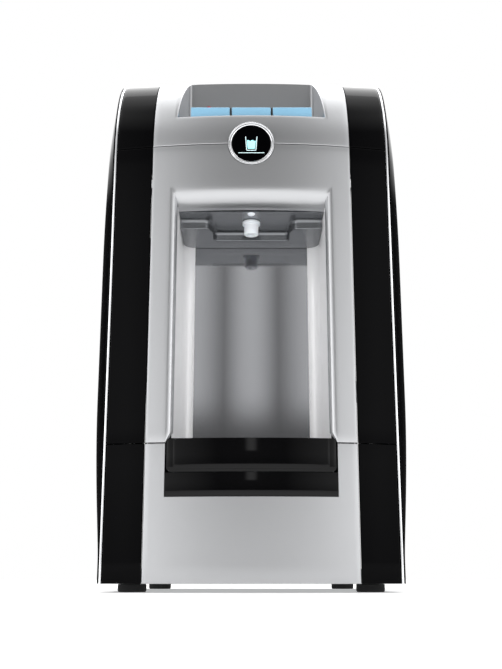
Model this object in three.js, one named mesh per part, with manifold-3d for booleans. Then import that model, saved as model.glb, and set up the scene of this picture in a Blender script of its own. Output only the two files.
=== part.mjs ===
// Countertop water dispenser: hot, room and cold water from a mains feed.
// Millimetres, +Z up, +X to the right as seen from the front, front face towards -Y.
// The origin is the bottom centre of the whole object.
import * as THREE from "three";
import { mergeVertices } from "three/addons/utils/BufferGeometryUtils.js";
import Module from "manifold-3d";

const wasm = await Module();
wasm.setup();

// ---- Driving dimensions -------------------------------------------------------------
const WIDTH = 315;
const DEPTH = 390;
const HEIGHT = 574;
const WALL = 3;                 // moulded casing wall
const GAP = 0.3;                // between pieces that touch
const SEAM = 0.8;               // visible joint between casing tiers
const FOOT_H = 8;
const FOOT_R = 14;
const TOP_ROLL = 135;           // radius of the big front-top curve
const REAR_ROLL = 26;
const FRONT_BOW_R = 616;        // the front bows outwards in plan
const LOWER_SEAM = 139.5;
const TOP_TIER = 123.5;         // top of the casing down to the upper joint
const REAR_SKIRT = 46;          // how far the top cover reaches down at the back
const SILVER_HALF = 102.9;
const TRIM_W = 2.4;
const TRIM_DEPTH = 10;
const SIDE_SWELL = 13.3;        // how far a side panel bulges beyond the trim
const SIDE_EDGE = 1;
const COLUMN_FLANGE = 14;

const NICHE_HALF = 76;
const NICHE_DEPTH = 111;
const NICHE_CORNER = 13;
const JAMB_ROLL = 7.8;
const BROW_ROLL = 20;
const CEILING = 384.5;
const HOOD_DROP = 10;           // lower ceiling block below the ceiling
const HOOD_FRONT = 48.6;
const NOTCH_HALF = 41.5;
const NOTCH_BACK = 86.5;
const NOTCH_ROUND = 9;
const LINER_WALL = 2.5;

const NOZZLE_R = 7.55;
const NOZZLE_BORE = 3.35;
const NOZZLE_D = 54.8;
const NOZZLE_DROP = 15.1;
const COLLAR_R = 9.5;
const LAMP_R = 4;
const LAMP_D = 30.7;

const TRAY_TOP = 144;
const TRAY_FLOOR = 114.8;
const TRAY_FRONT_HALF = NICHE_HALF + 5.8;
const TRAY_WALL = 2;
const FASCIA_TOP = 111;
const FASCIA_BOTTOM = 88.5;
const FASCIA_HALF = NICHE_HALF + 6.6;
const FRONT_FIT = 0.6;          // around the tray front and the fascia
const GRILLE_T = 3;
const SLOT_COLS = 2;
const SLOT_ROWS = 9;

const BADGE_R = 24;
const BADGE_RING = 3.7;
const BADGE_PROUD = 1.2;

const SILL_BELOW_TOP = 87.3;    // pocket sill below the top of the casing
const POCKET_BACK = 62;
const POCKET_SPLAY = 10;
const POCKET_CORNER = 5;
const KEY_W = 41.8;
const KEY_GAP = 2.1;
const KEY_FRONT = 20;
const KEY_L = 32;
const KEY_RISE = 15.5;          // above the sill
const KEY_MARGIN = 15;          // from the outer keys to the pocket wall
const DECK_T = 3;
const LOCK_LENGTH = 20;
const LOCK_W = 5;
const LOCK_TRAVEL = 4;
const SPRING_R = 5;
const SPRING_WIRE = 0.6;
const SPRING_TURNS = 4;

const COMPRESSOR_R = 60;
const COMPRESSOR_H = 128;
const COLD_R = 48;
const JACKET_T = 22;
const HOT_R = 43;
const TANK_H = 170;
const SHELF_Z = 222;
const SHEET = 1.6;
const FILTER_R = 25;
const CONDENSER_PITCH = 38;
const CONDENSER_PASSES = 9;
const CONDENSER_TUBE = 2.4;
const CONDENSER_WIRES = 6;
const INLET_R = 10.5;
const INLET_BORE = 6.5;
const SWITCH_W = 13;
const SWITCH_H = 21;
const SWITCH_TILT = 8;
const SWITCH_FIT = 0.8;
const SOCKET_Z = 62;            // height of the row of connections at the back
const POWER_X = -96;
const SWITCH_X = -34;
const WATER_X = 62;
const LINE_X = 104;             // where the refrigerant line leaves through the back panel
const LINE_Z = 108;

// ---- Values that follow -------------------------------------------------------------
const FRONT = -DEPTH / 2 + BADGE_PROUD;
const REAR = DEPTH - BADGE_PROUD;
const ROLL_START = HEIGHT - TOP_ROLL;
const UPPER_SEAM = HEIGHT - TOP_TIER;
const SIDE_X = WIDTH / 2 - SIDE_SWELL;
const COLUMN_X = SIDE_X - TRIM_W - GAP;
const INNER_HALF = COLUMN_X - WALL - 1;
const BACK_D = REAR - 12;
const SILL = HEIGHT - SILL_BELOW_TOP;
const KEY_PITCH = KEY_W + KEY_GAP;
const KEY_TOP = SILL + KEY_RISE;
const DECK_Z = SILL - 6;
const KEY_UNDER = DECK_Z - 8;
const BOARD_Z = KEY_UNDER - 12;
const POCKET_HALF = 1.5 * KEY_PITCH + KEY_MARGIN;
const GRILLE_Z = TRAY_TOP - GRILLE_T - 2.6;
const keyNames = ["hot", "room", "cold"];
const keyX = (index) => (index - 1) * KEY_PITCH;
const LOCK_X0 = keyX(0) - KEY_W / 2 + 16.4;
const MANIFOLD_Z = CEILING + 14;
const TANK_D = NICHE_DEPTH + LINER_WALL + 26 + COLD_R + JACKET_T;
const COLD_X = -COLD_R - JACKET_T + 14;
const HOT_X = COLD_X + COLD_R + JACKET_T + HOT_R + 8;
const TANK_Z = SHELF_Z + SHEET + GAP;
const SWITCH_BLOCK = 2 * SWITCH_W + 10;
const SWITCH_OFFSET = SWITCH_W / 2 + 2;

// ---- Materials ----------------------------------------------------------------------
const paint = (color, roughness, metalness = 0) =>
  new THREE.MeshStandardMaterial({ color, roughness, metalness });
const SILVER = paint(0xc4c5c6, 0.35, 0.6);
const BLACK = paint(0x0b0b0c, 0.08);
const DARK = paint(0x1c1d1f, 0.5);
const CHROME = paint(0xd9dadc, 0.12, 1);
const STEEL = paint(0xaeb1b4, 0.3, 1);
const ZINC = paint(0x9a9d9f, 0.45, 0.9);
const WHITE = paint(0xeef0f3, 0.3);
const KEY_BLUE = paint(0x92c5e3, 0.35);
const RED = paint(0xb3202a, 0.4);
const GREEN = paint(0x2f7d4f, 0.4);
const FOAM = paint(0xe9e7df, 0.9);
const COPPER = paint(0xb87348, 0.3, 1);
const RUBBER = paint(0x2a2a2b, 0.85);
const BOARD = paint(0x2c6b46, 0.5);
const BRASS = paint(0xb89a55, 0.3, 1);

// ---- Solids -------------------------------------------------------------------------
const point = (x, y) => new THREE.Vector2(x, y);
const toX = new THREE.Matrix4().makeBasis(
  new THREE.Vector3(0, 1, 0), new THREE.Vector3(0, 0, 1), new THREE.Vector3(1, 0, 0));

function solid(geometry) {
  const bare = geometry.clone();
  bare.deleteAttribute("normal");
  bare.deleteAttribute("uv");
  const welded = mergeVertices(bare, 1e-4);
  return new wasm.Manifold(new wasm.Mesh({
    numProp: 3,
    vertProperties: new Float32Array(welded.attributes.position.array),
    triVerts: new Uint32Array(welded.index.array),
  }));
}

function geometryOf(manifold) {
  const mesh = manifold.getMesh();
  const geometry = new THREE.BufferGeometry();
  geometry.setAttribute("position", new THREE.BufferAttribute(mesh.vertProperties, 3));
  geometry.setIndex(new THREE.BufferAttribute(mesh.triVerts, 1));
  return geometry;
}

// A block between two corners; d is the distance back from the front face.
function block(x0, x1, d0, d1, z0, z1) {
  const box = new THREE.BoxGeometry(x1 - x0, d1 - d0, z1 - z0);
  box.translate((x0 + x1) / 2, FRONT + (d0 + d1) / 2, (z0 + z1) / 2);
  return solid(box);
}

// An outline of [d, z] points run from x0 to x1.
function alongX(outline, x0, x1, steps = 1, bowed = false) {
  const shape = new THREE.Shape(outline.map(([d, z]) => point(d, z)));
  const geometry = new THREE.ExtrudeGeometry(shape, { depth: x1 - x0, steps, bevelEnabled: false });
  geometry.applyMatrix4(toX);
  geometry.translate(x0, FRONT, 0);
  return solid(bowed ? bowFront(geometry) : geometry);
}

// A plan outline of [x, d] points raised from z0 to z1.
function alongZ(outline, z0, z1) {
  const shape = new THREE.Shape(outline.map(([x, d]) => point(x, FRONT + d)));
  const geometry = new THREE.ExtrudeGeometry(shape, { depth: z1 - z0, bevelEnabled: false });
  geometry.translate(0, 0, z0);
  return solid(geometry);
}

// A round piece turned about a vertical axis at (x, d); its profile holds [r, z] points.
function turned(profile, x, d, segments = 24) {
  const geometry = new THREE.LatheGeometry(profile.map(([r, z]) => point(r, z)), segments);
  geometry.rotateX(Math.PI / 2);
  geometry.translate(x, FRONT + d, 0);
  return solid(geometry);
}

// A round piece turned about an axis along Y; its profile holds [r, d] points.
function turnedY(profile, x, z, segments = 24) {
  const geometry = new THREE.LatheGeometry(profile.map(([r, d]) => point(r, d)), segments);
  geometry.translate(x, FRONT, z);
  return solid(geometry);
}

const rod = (x, d, r, z0, z1, segments = 20) => turned([[0, z0], [r, z0], [r, z1], [0, z1]], x, d, segments);
const ring = (bore, r, z0, z1) => [[bore, z0], [r, z0], [r, z1], [bore, z1], [bore, z0]];

// A round bar along a curve through [x, d, z] points.
function bar(points, radius, steps, sides = 8) {
  const section = [];
  for (let i = 0; i < sides; i += 1) {
    const angle = (2 * Math.PI * i) / sides;
    section.push(point(radius * Math.cos(angle), radius * Math.sin(angle)));
  }
  const path = new THREE.CatmullRomCurve3(
    points.map(([x, d, z]) => new THREE.Vector3(x, FRONT + d, z)), false, "centripetal");
  return solid(new THREE.ExtrudeGeometry(new THREE.Shape(section), { steps, extrudePath: path }));
}

const join = (first, ...rest) => rest.reduce((sum, next) => sum.add(next), first);
const cut = (first, ...rest) => rest.reduce((left, next) => left.subtract(next), first);

// ---- The casing surface -------------------------------------------------------------
const bowAt = (x) => FRONT_BOW_R - Math.sqrt(FRONT_BOW_R ** 2 - x ** 2);

// Sweeps a straight front back at its sides, fading out where the top curve ends.
function bowFront(geometry) {
  const position = geometry.attributes.position;
  for (let i = 0; i < position.count; i += 1) {
    const d = position.getY(i) - FRONT;
    if (d < TOP_ROLL) {
      position.setY(i, FRONT + d + bowAt(position.getX(i)) * (1 - d / TOP_ROLL));
    }
  }
  return geometry;
}

// The side view of the casing, drawn in by an inset.
function casingOutline(inset) {
  const arcSteps = 12;
  const points = [[inset, 0]];
  for (let i = 0; i <= arcSteps; i += 1) {
    const turn = (Math.PI / 2) * (i / arcSteps);
    const r = TOP_ROLL - inset;
    points.push([TOP_ROLL - r * Math.cos(turn), ROLL_START + r * Math.sin(turn)]);
  }
  for (let i = 0; i <= 5; i += 1) {
    const turn = (Math.PI / 2) * (i / 5);
    const r = REAR_ROLL - inset;
    points.push([REAR - REAR_ROLL + r * Math.sin(turn), HEIGHT - REAR_ROLL + r * Math.cos(turn)]);
  }
  points.push([REAR - inset, 0]);
  return points.reverse();
}

function casingSkin(x0, x1, steps, thickness) {
  const outer = alongX(casingOutline(0), x0, x1, steps, true);
  const cavity = casingOutline(thickness).map(([d, z]) => [d, z === 0 ? -1 : z]);
  const inner = alongX(cavity, x0, x1, steps, true);
  return cut(outer, inner);
}

const tierBox = (z0, z1) => block(-WIDTH, WIDTH, -5, 60, z0, z1);
const lowerTier = tierBox(FOOT_H, LOWER_SEAM - SEAM / 2);
const midTier = tierBox(LOWER_SEAM + SEAM / 2, UPPER_SEAM - SEAM / 2);
const topTier = join(
  block(-WIDTH, WIDTH, -5, REAR / 2 + 1, UPPER_SEAM + SEAM / 2, HEIGHT + 5),
  block(-WIDTH, WIDTH, REAR / 2, REAR + 5, HEIGHT - REAR_SKIRT, HEIGHT + 5));

const model = new THREE.Group();
model.name = "water_dispenser";

function add(name, shape, material) {
  const mesh = new THREE.Mesh(geometryOf(shape), material);
  mesh.name = name;
  model.add(mesh);
  return mesh;
}

// ---- Casing -------------------------------------------------------------------------
function badgeCutter() {
  return turnedY([[0, -8], [BADGE_R + GAP, -8], [BADGE_R + GAP, 9], [0, 9]], 0, UPPER_SEAM, 48);
}

function makeSilverFront() {
  const skin = casingSkin(-SILVER_HALF + GAP, SILVER_HALF - GAP, 12, WALL);
  const notch = block(
    -FASCIA_HALF - FRONT_FIT, FASCIA_HALF + FRONT_FIT, -5, 12, FASCIA_BOTTOM - FRONT_FIT, LOWER_SEAM + 1);
  add("lower_front_panel", cut(skin.intersect(lowerTier), notch), SILVER);

  const faceHalf = NICHE_HALF + JAMB_ROLL;
  const browTop = CEILING + BROW_ROLL;
  const opening = block(-faceHalf, faceHalf, -5, 12, 0, browTop);
  const sheet = cut(skin.intersect(midTier), opening);
  const mouth = [makeJamb(1, browTop), makeJamb(-1, browTop), makeBrow(faceHalf)];
  const mid = cut(join(sheet, ...mouth), badgeCutter());
  add("mid_front_panel", mid, SILVER);

  add("top_cover", cut(makeTopCover(skin.intersect(topTier)), badgeCutter()), SILVER);
}

// The rolled edge that leads from the front face into the niche, one on each side.
function makeJamb(side, top) {
  const x = side * (NICHE_HALF + JAMB_ROLL);
  const bow = bowAt(x);
  const outline = [];
  for (let i = 0; i <= 5; i += 1) {
    const turn = (Math.PI / 2) * (i / 5);
    outline.push([x - side * JAMB_ROLL * Math.sin(turn), bow + JAMB_ROLL * (1 - Math.cos(turn))]);
  }
  outline.push([x - side * (JAMB_ROLL - LINER_WALL), bow + JAMB_ROLL]);
  outline.push([x + side * 0.5, bow + LINER_WALL]);
  outline.push([x + side * 0.5, bow]);
  return alongZ(side > 0 ? outline.reverse() : outline, TRAY_TOP + 1, top);
}

// The rolled edge over the niche.
function makeBrow(half) {
  const top = CEILING + BROW_ROLL;
  const outline = [];
  for (let i = 0; i <= 7; i += 1) {
    const turn = (Math.PI / 2) * (i / 7);
    outline.push([BROW_ROLL * (1 - Math.cos(turn)), top - BROW_ROLL * Math.sin(turn)]);
  }
  outline.push([BROW_ROLL, CEILING + LINER_WALL]);
  outline.push([LINER_WALL, top]);
  outline.push([LINER_WALL, top + 0.5]);
  outline.push([0, top + 0.5]);
  return alongX(outline, -half, half, 10, true);
}

// The plan of the key pocket: open at the front, splayed sides, round back corners.
function pocketPlan(grow) {
  const half = POCKET_HALF + grow;
  const back = POCKET_BACK + grow;
  const backHalf = half - POCKET_SPLAY;
  const corner = POCKET_CORNER + grow;
  const right = [[half + 4, -14], [half, 8]];
  for (let i = 0; i <= 3; i += 1) {
    const turn = (Math.PI / 2) * (i / 3);
    right.push([backHalf - corner * (1 - Math.cos(turn)), back - corner * (1 - Math.sin(turn))]);
  }
  const left = right.map(([x, d]) => [-x, d]).reverse();
  return right.concat(left);
}

function makeTopCover(skin) {
  const hollow = alongZ(pocketPlan(0), SILL, HEIGHT + 5);
  const body = alongX(casingOutline(0), -SILVER_HALF + 1, SILVER_HALF - 1, 12, true);
  const walls = alongZ(pocketPlan(LINER_WALL), SILL - 2, HEIGHT + 5).intersect(body);
  const throat = alongZ(pocketPlan(0), 0, SILL + 1).subtract(block(-WIDTH, WIDTH, -20, WALL + 8, 0, HEIGHT));
  return cut(join(skin, walls), hollow, throat);
}

function makeColumns() {
  const tiers = [["lower", lowerTier], ["mid", midTier], ["top", topTier]];
  for (const [side, label] of [[-1, "left"], [1, "right"]]) {
    const inner = side * (SILVER_HALF + GAP);
    const outer = side * COLUMN_X;
    const flange = side * (COLUMN_X - WALL);
    const strip = casingSkin(Math.min(inner, outer), Math.max(inner, outer), 3, WALL);
    const edge = casingSkin(Math.min(flange, outer), Math.max(flange, outer), 1, COLUMN_FLANGE);
    for (const [tier, box] of tiers) {
      add(`${tier}_column_${label}`, join(strip, edge).intersect(box), BLACK);
    }
    const trimLeft = side > 0 ? SIDE_X - TRIM_W : -SIDE_X;
    const trim = casingSkin(trimLeft, trimLeft + TRIM_W, 1, TRIM_DEPTH);
    const kept = block(-WIDTH, WIDTH, -5, REAR + 5, FOOT_H, HEIGHT + 5);
    add(`edge_trim_${label}`, trim.intersect(kept), CHROME);
  }
}

// A thin pillow-shaped side panel that fades to the trim at its front, top and bottom edges.
function makeSidePanel(side) {
  const rows = 14;
  const columns = 8;
  const geometry = new THREE.BoxGeometry(1, 1, 1, 1, columns, rows);
  const position = geometry.attributes.position;
  const rise = (distance, reach) => 1 - Math.max(0, 1 - distance / reach) ** 2;
  for (let i = 0; i < position.count; i += 1) {
    const across = (position.getY(i) + 0.5) ** 1.6;
    const up = position.getZ(i) + 0.5;
    const turn = Math.max(0, up - 0.5) * Math.PI;
    const z = up < 0.5 ? FOOT_H + (ROLL_START - FOOT_H) * up * 2 : ROLL_START + TOP_ROLL * Math.sin(turn);
    const start = bowAt(SIDE_X) + (TOP_ROLL - bowAt(SIDE_X)) * (1 - Math.cos(turn));
    const drop = Math.max(0, z - (HEIGHT - REAR_ROLL)) / REAR_ROLL;
    const end = REAR - REAR_ROLL * (1 - Math.sqrt(Math.max(0, 1 - drop ** 2)));
    const d = start + (end - start) * across;
    const fromFront = rise(d - start, 42) * rise(z - FOOT_H + 8, 190);
    const swell = fromFront * rise(HEIGHT - z, 240) * rise(end - d + 30, 70);
    const outer = SIDE_X + GAP + SIDE_EDGE + (SIDE_SWELL - GAP - SIDE_EDGE) * swell;
    const isOuter = position.getX(i) * side > 0;
    const x = isOuter ? outer : Math.max(SIDE_X + GAP, outer - WALL);
    position.setXYZ(i, side * x, FRONT + d, z);
  }
  return solid(geometry);
}

function makeBackPanel() {
  const half = SIDE_X - TRIM_W - 2;
  let sheet = block(-half, half, BACK_D, BACK_D + SHEET, FOOT_H + 4, HEIGHT - REAR_SKIRT - 1);
  const ventPitch = 12;
  for (let row = 0; row < 7; row += 1) {
    for (const x of [-62, 62]) {
      const z = HEIGHT - REAR_SKIRT - 30 - row * ventPitch;
      sheet = cut(sheet, block(x - 42, x + 42, BACK_D - 2, BACK_D + 4, z - 2.5, z + 2.5));
    }
  }
  const drill = (r) => [[0, BACK_D - 3], [r, BACK_D - 3], [r, BACK_D + 5], [0, BACK_D + 5]];
  const hole = (x, z, r) => turnedY(drill(r), x, z, 24);
  const powerHole = block(
    POWER_X - 14.5, POWER_X + 14.5, BACK_D - 3, BACK_D + 5, SOCKET_Z - 11.5, SOCKET_Z + 11.5);
  const switchHole = block(
    SWITCH_X - SWITCH_BLOCK / 2 - GAP, SWITCH_X + SWITCH_BLOCK / 2 + GAP, BACK_D - 3, BACK_D + 5,
    SOCKET_Z - SWITCH_H / 2 - 2 - GAP, SOCKET_Z + SWITCH_H / 2 + 2 + GAP);
  sheet = cut(sheet, powerHole, switchHole, hole(WATER_X, SOCKET_Z, INLET_R + GAP));
  add("back_panel", cut(sheet, hole(LINE_X, LINE_Z, CONDENSER_TUBE + 3)), DARK);
}

function makeBase() {
  const half = INNER_HALF - 1;
  const first = bowAt(half) + WALL + COLUMN_FLANGE + 2;
  const pan = cut(
    block(-half, half, first, BACK_D - 1, FOOT_H, FOOT_H + 14),
    block(-half + SHEET, half - SHEET, first + SHEET, BACK_D - 1 - SHEET, FOOT_H + SHEET, FOOT_H + 20));
  add("base_pan", pan, ZINC);
  const footTop = FOOT_H - GAP;
  const foot = turned([[0, 0], [FOOT_R - 1.5, 0], [FOOT_R, 2], [FOOT_R, footTop], [0, footTop]], 0, 0, 16);
  for (const [depth, d] of [["front", first + FOOT_R + 6], ["rear", BACK_D - FOOT_R - 12]]) {
    for (const [label, x] of [["left", -half + FOOT_R + 6], ["right", half - FOOT_R - 6]]) {
      const mesh = add(`foot_${depth}_${label}`, foot, RUBBER);
      mesh.position.set(x, d, 0);
    }
  }
}

// ---- Dispensing niche ---------------------------------------------------------------
function roundedBackPlan(half, front, back, corner) {
  const right = [[half, front]];
  for (let i = 0; i <= 5; i += 1) {
    const turn = (Math.PI / 2) * (i / 5);
    right.push([half - corner * (1 - Math.cos(turn)), back - corner * (1 - Math.sin(turn))]);
  }
  return right.concat(right.map(([x, d]) => [-x, d]).reverse());
}

function makeNiche() {
  const linerFront = bowAt(NICHE_HALF + JAMB_ROLL) + JAMB_ROLL + GAP;
  const outer = roundedBackPlan(
    NICHE_HALF + LINER_WALL, linerFront, NICHE_DEPTH + LINER_WALL, NICHE_CORNER + LINER_WALL);
  const inner = roundedBackPlan(NICHE_HALF, linerFront - 5, NICHE_DEPTH, NICHE_CORNER);
  const liner = cut(
    alongZ(outer, TRAY_FLOOR - GAP - LINER_WALL, CEILING + LINER_WALL),
    alongZ(inner, TRAY_FLOOR - GAP, CEILING + 20));
  const browBack = BROW_ROLL + bowAt(NICHE_HALF + LINER_WALL) + GAP;
  const brow = block(-WIDTH, WIDTH, -5, browBack, CEILING - GAP, HEIGHT);
  add("niche_liner", cut(liner, brow), SILVER);

  const slabFront = BROW_ROLL + bowAt(NICHE_HALF) + GAP;
  const slabPlan = roundedBackPlan(NICHE_HALF - GAP, slabFront, NICHE_DEPTH - GAP, NICHE_CORNER);
  const slab = alongZ(slabPlan, CEILING, CEILING + LINER_WALL);
  const lower = alongZ(hoodPlan(), CEILING - HOOD_DROP, CEILING + 1);
  const hood = cut(
    join(slab, lower),
    rod(0, NOZZLE_D, COLLAR_R - 1 + GAP, CEILING - 20, CEILING + 20, 32),
    rod(0, LAMP_D, LAMP_R + GAP, CEILING - 5, CEILING + 20, 24));
  add("niche_hood", hood, SILVER);
}

// The lower ceiling block: two prongs with round ends either side of the nozzle.
function hoodPlan() {
  const half = NICHE_HALF - GAP;
  const back = NICHE_DEPTH - GAP;
  const right = [];
  const quarter = (cx, cd, r, from) => {
    for (let i = 0; i <= 4; i += 1) {
      const turn = from + (Math.PI / 2) * (i / 4);
      right.push([cx + r * Math.cos(turn), cd + r * Math.sin(turn)]);
    }
  };
  right.push([NOTCH_HALF - 4, NOTCH_BACK]);
  right.push([NOTCH_HALF, NOTCH_BACK - 4]);
  const round = NOTCH_ROUND;
  for (let i = 0; i <= 4; i += 1) {
    const turn = Math.PI + (Math.PI / 2) * (i / 4);
    right.push([NOTCH_HALF + round + round * Math.cos(turn), HOOD_FRONT + round + round * Math.sin(turn)]);
  }
  right.push([half, HOOD_FRONT]);
  quarter(half - NICHE_CORNER, back - NICHE_CORNER, NICHE_CORNER, 0);
  return right.concat(right.map(([x, d]) => [-x, d]).reverse());
}

function makeNozzle() {
  const collar = [
    [NOZZLE_R + GAP, CEILING - 4], [COLLAR_R, CEILING - 4], [COLLAR_R, CEILING - GAP],
    [COLLAR_R - 1, CEILING - GAP], [COLLAR_R - 1, CEILING + 8], [NOZZLE_R + GAP, CEILING + 8],
    [NOZZLE_R + GAP, CEILING - 4]];
  add("nozzle_collar", turned(collar, 0, NOZZLE_D), WHITE);
  const tip = CEILING - NOZZLE_DROP;
  add("nozzle", turned(ring(NOZZLE_BORE, NOZZLE_R, tip, MANIFOLD_Z - GAP), 0, NOZZLE_D), WHITE);
  const lens = [
    [0, CEILING - 2], [LAMP_R - 1.2, CEILING - 1.4], [LAMP_R, CEILING], [LAMP_R, CEILING + 8],
    [0, CEILING + 8]];
  add("niche_lamp", turned(lens, 0, LAMP_D, 24), WHITE);
}

function makeTray() {
  const half = NICHE_HALF - 1.5;
  const back = NICHE_DEPTH - 3;
  const rim = TRAY_TOP - 2.6;
  const start = bowAt(half) + 1;
  const basin = (inset) => roundedBackPlan(half - inset, start + inset, back - inset, NICHE_CORNER - inset);
  const tub = cut(
    alongZ(basin(0), TRAY_FLOOR, rim), alongZ(basin(TRAY_WALL), TRAY_FLOOR + TRAY_WALL, rim + 5));
  const ledge = (x, d) => block(x - 5, x + 5, d - 5, d + 5, TRAY_FLOOR + 1, GRILLE_Z - GAP);
  const near = start + TRAY_WALL + 4;
  const far = back - NICHE_CORNER - 4;
  const side = half - TRAY_WALL - 4;
  const cell = alongX(
    [[0, FASCIA_TOP + GAP * 2], [0, TRAY_TOP], [WALL, TRAY_TOP], [WALL, FASCIA_TOP + GAP * 2]].reverse(),
    -TRAY_FRONT_HALF, TRAY_FRONT_HALF, 12, true);
  const bridge = cut(
    block(-half, half, WALL - 1, start + 1, TRAY_FLOOR, rim),
    block(-SILVER_HALF, SILVER_HALF, -5, WALL - 1, 0, HEIGHT));
  const tray = cut(
    join(cell, bridge, tub, ledge(side, near), ledge(-side, near), ledge(side, far), ledge(-side, far)),
    block(-half + TRAY_WALL, half - TRAY_WALL, start, start + 0.5 + TRAY_WALL, GRILLE_Z - GAP, rim + 5));
  add("drip_tray", tray, BLACK);

  const grilleHalf = half - TRAY_WALL - GAP * 2;
  const grilleFront = start + TRAY_WALL + GAP * 2;
  const grilleBack = back - TRAY_WALL - GAP * 2;
  const plate = roundedBackPlan(grilleHalf, grilleFront, grilleBack, NICHE_CORNER - TRAY_WALL);
  let grille = alongZ(plate, GRILLE_Z, GRILLE_Z + GRILLE_T);
  const pitch = (grilleBack - grilleFront - 14) / SLOT_ROWS;
  for (let row = 0; row < SLOT_ROWS; row += 1) {
    const d = grilleFront + 7 + pitch * (row + 0.5);
    for (let column = 0; column < SLOT_COLS; column += 1) {
      const x0 = column === 0 ? -grilleHalf + 9 : 3;
      const x1 = column === 0 ? -3 : grilleHalf - 9;
      grille = cut(grille, block(x0, x1, d - 2.6, d + 2.6, GRILLE_Z - 5, GRILLE_Z + 10));
    }
  }
  add("drip_grille", grille, STEEL);

  const fascia = alongX(
    [[0, FASCIA_BOTTOM], [0, FASCIA_TOP], [WALL, FASCIA_TOP], [WALL, FASCIA_BOTTOM]].reverse(),
    -FASCIA_HALF, FASCIA_HALF, 12, true);
  add("tray_fascia", fascia, BLACK);
}

// ---- Controls -----------------------------------------------------------------------
function makeBadge() {
  const ringR = BADGE_R - BADGE_RING;
  add("badge_ring", turnedY([
    [ringR, -0.2], [BADGE_R - 1.8, -BADGE_PROUD], [BADGE_R, -0.4], [BADGE_R, 4], [ringR, 4], [ringR, -0.2]],
  0, UPPER_SEAM, 48), CHROME);
  add("badge_disc", turnedY([
    [0, 0], [ringR - GAP, 0], [ringR - GAP, 3.6], [0, 3.6]], 0, UPPER_SEAM, 48), BLACK);
}

function makeKeys() {
  const half = 1.5 * KEY_PITCH;
  const deck = cut(
    block(-POCKET_HALF + 3, POCKET_HALF - 3, WALL + 9, POCKET_BACK + 6, DECK_Z - DECK_T, DECK_Z),
    block(-half, half, KEY_FRONT - 0.6, KEY_FRONT + KEY_L + 0.6, DECK_Z - 10, DECK_Z + 10));
  add("key_deck", deck, DARK);

  keyNames.forEach((name, index) => {
    const x = keyX(index);
    const left = x - KEY_W / 2;
    const right = x + KEY_W / 2;
    let key = join(
      block(left, right, KEY_FRONT, KEY_FRONT + KEY_L, KEY_UNDER, KEY_TOP),
      block(left, right, KEY_FRONT - 3, KEY_FRONT + KEY_L + 3, KEY_UNDER, DECK_Z - DECK_T - GAP));
    if (name === "hot") {
      const reach = LOCK_LENGTH + LOCK_TRAVEL + 1;
      const groove = block(
        LOCK_X0 - 0.5, LOCK_X0 - 0.5 + reach, KEY_FRONT + 1.7, KEY_FRONT + 2.3 + LOCK_W,
        KEY_TOP - 1.5, KEY_TOP + 5);
      key = cut(key, groove);
    }
    add(`${name}_key`, key, KEY_BLUE);
    add(`${name}_key_spring`, makeSpring(x, KEY_FRONT + KEY_L / 2), STEEL);
  });

  const d = KEY_FRONT + 2;
  add("hot_lock_slider", join(
    block(LOCK_X0, LOCK_X0 + LOCK_LENGTH, d, d + LOCK_W, KEY_TOP - 1.5 + GAP, KEY_TOP + 0.4),
    block(LOCK_X0, LOCK_X0 + 6, d, d + LOCK_W, KEY_TOP - 1, KEY_TOP + 2.4)), RED);

  let board = block(-half - 6, half + 6, KEY_FRONT - 4, KEY_FRONT + KEY_L + 8, BOARD_Z - 1.6, BOARD_Z);
  keyNames.forEach((name, index) => {
    const x = keyX(index);
    board = join(board, block(x + 8, x + 18, KEY_FRONT + 6, KEY_FRONT + 26, BOARD_Z - 0.5, BOARD_Z + 6));
  });
  add("key_switch_board", board, BOARD);
}

function makeSpring(x, d) {
  const bottom = BOARD_Z + GAP + SPRING_WIRE;
  const top = KEY_UNDER - GAP - SPRING_WIRE;
  const perTurn = 8;
  const points = [];
  for (let i = 0; i <= SPRING_TURNS * perTurn; i += 1) {
    const angle = (2 * Math.PI * i) / perTurn;
    const z = bottom + ((top - bottom) * i) / (SPRING_TURNS * perTurn);
    points.push([x + SPRING_R * Math.cos(angle), d + SPRING_R * Math.sin(angle), z]);
  }
  return bar(points, SPRING_WIRE, SPRING_TURNS * perTurn, 5);
}

// ---- Water and cooling --------------------------------------------------------------
function makeValves() {
  add("valve_manifold", block(-62, 62, NOZZLE_D - 14, NOZZLE_D + 14, MANIFOLD_Z, MANIFOLD_Z + 16), WHITE);
  keyNames.forEach((name, index) => {
    const x = (index - 1) * 40;
    const z = MANIFOLD_Z + 16 + GAP;
    const valve = join(
      block(x - 13, x + 13, NOZZLE_D - 13, NOZZLE_D + 13, z, z + 14),
      rod(x, NOZZLE_D, 10.5, z + 13, z + 34, 20));
    add(`${name}_solenoid_valve`, valve, DARK);
  });
}

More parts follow.
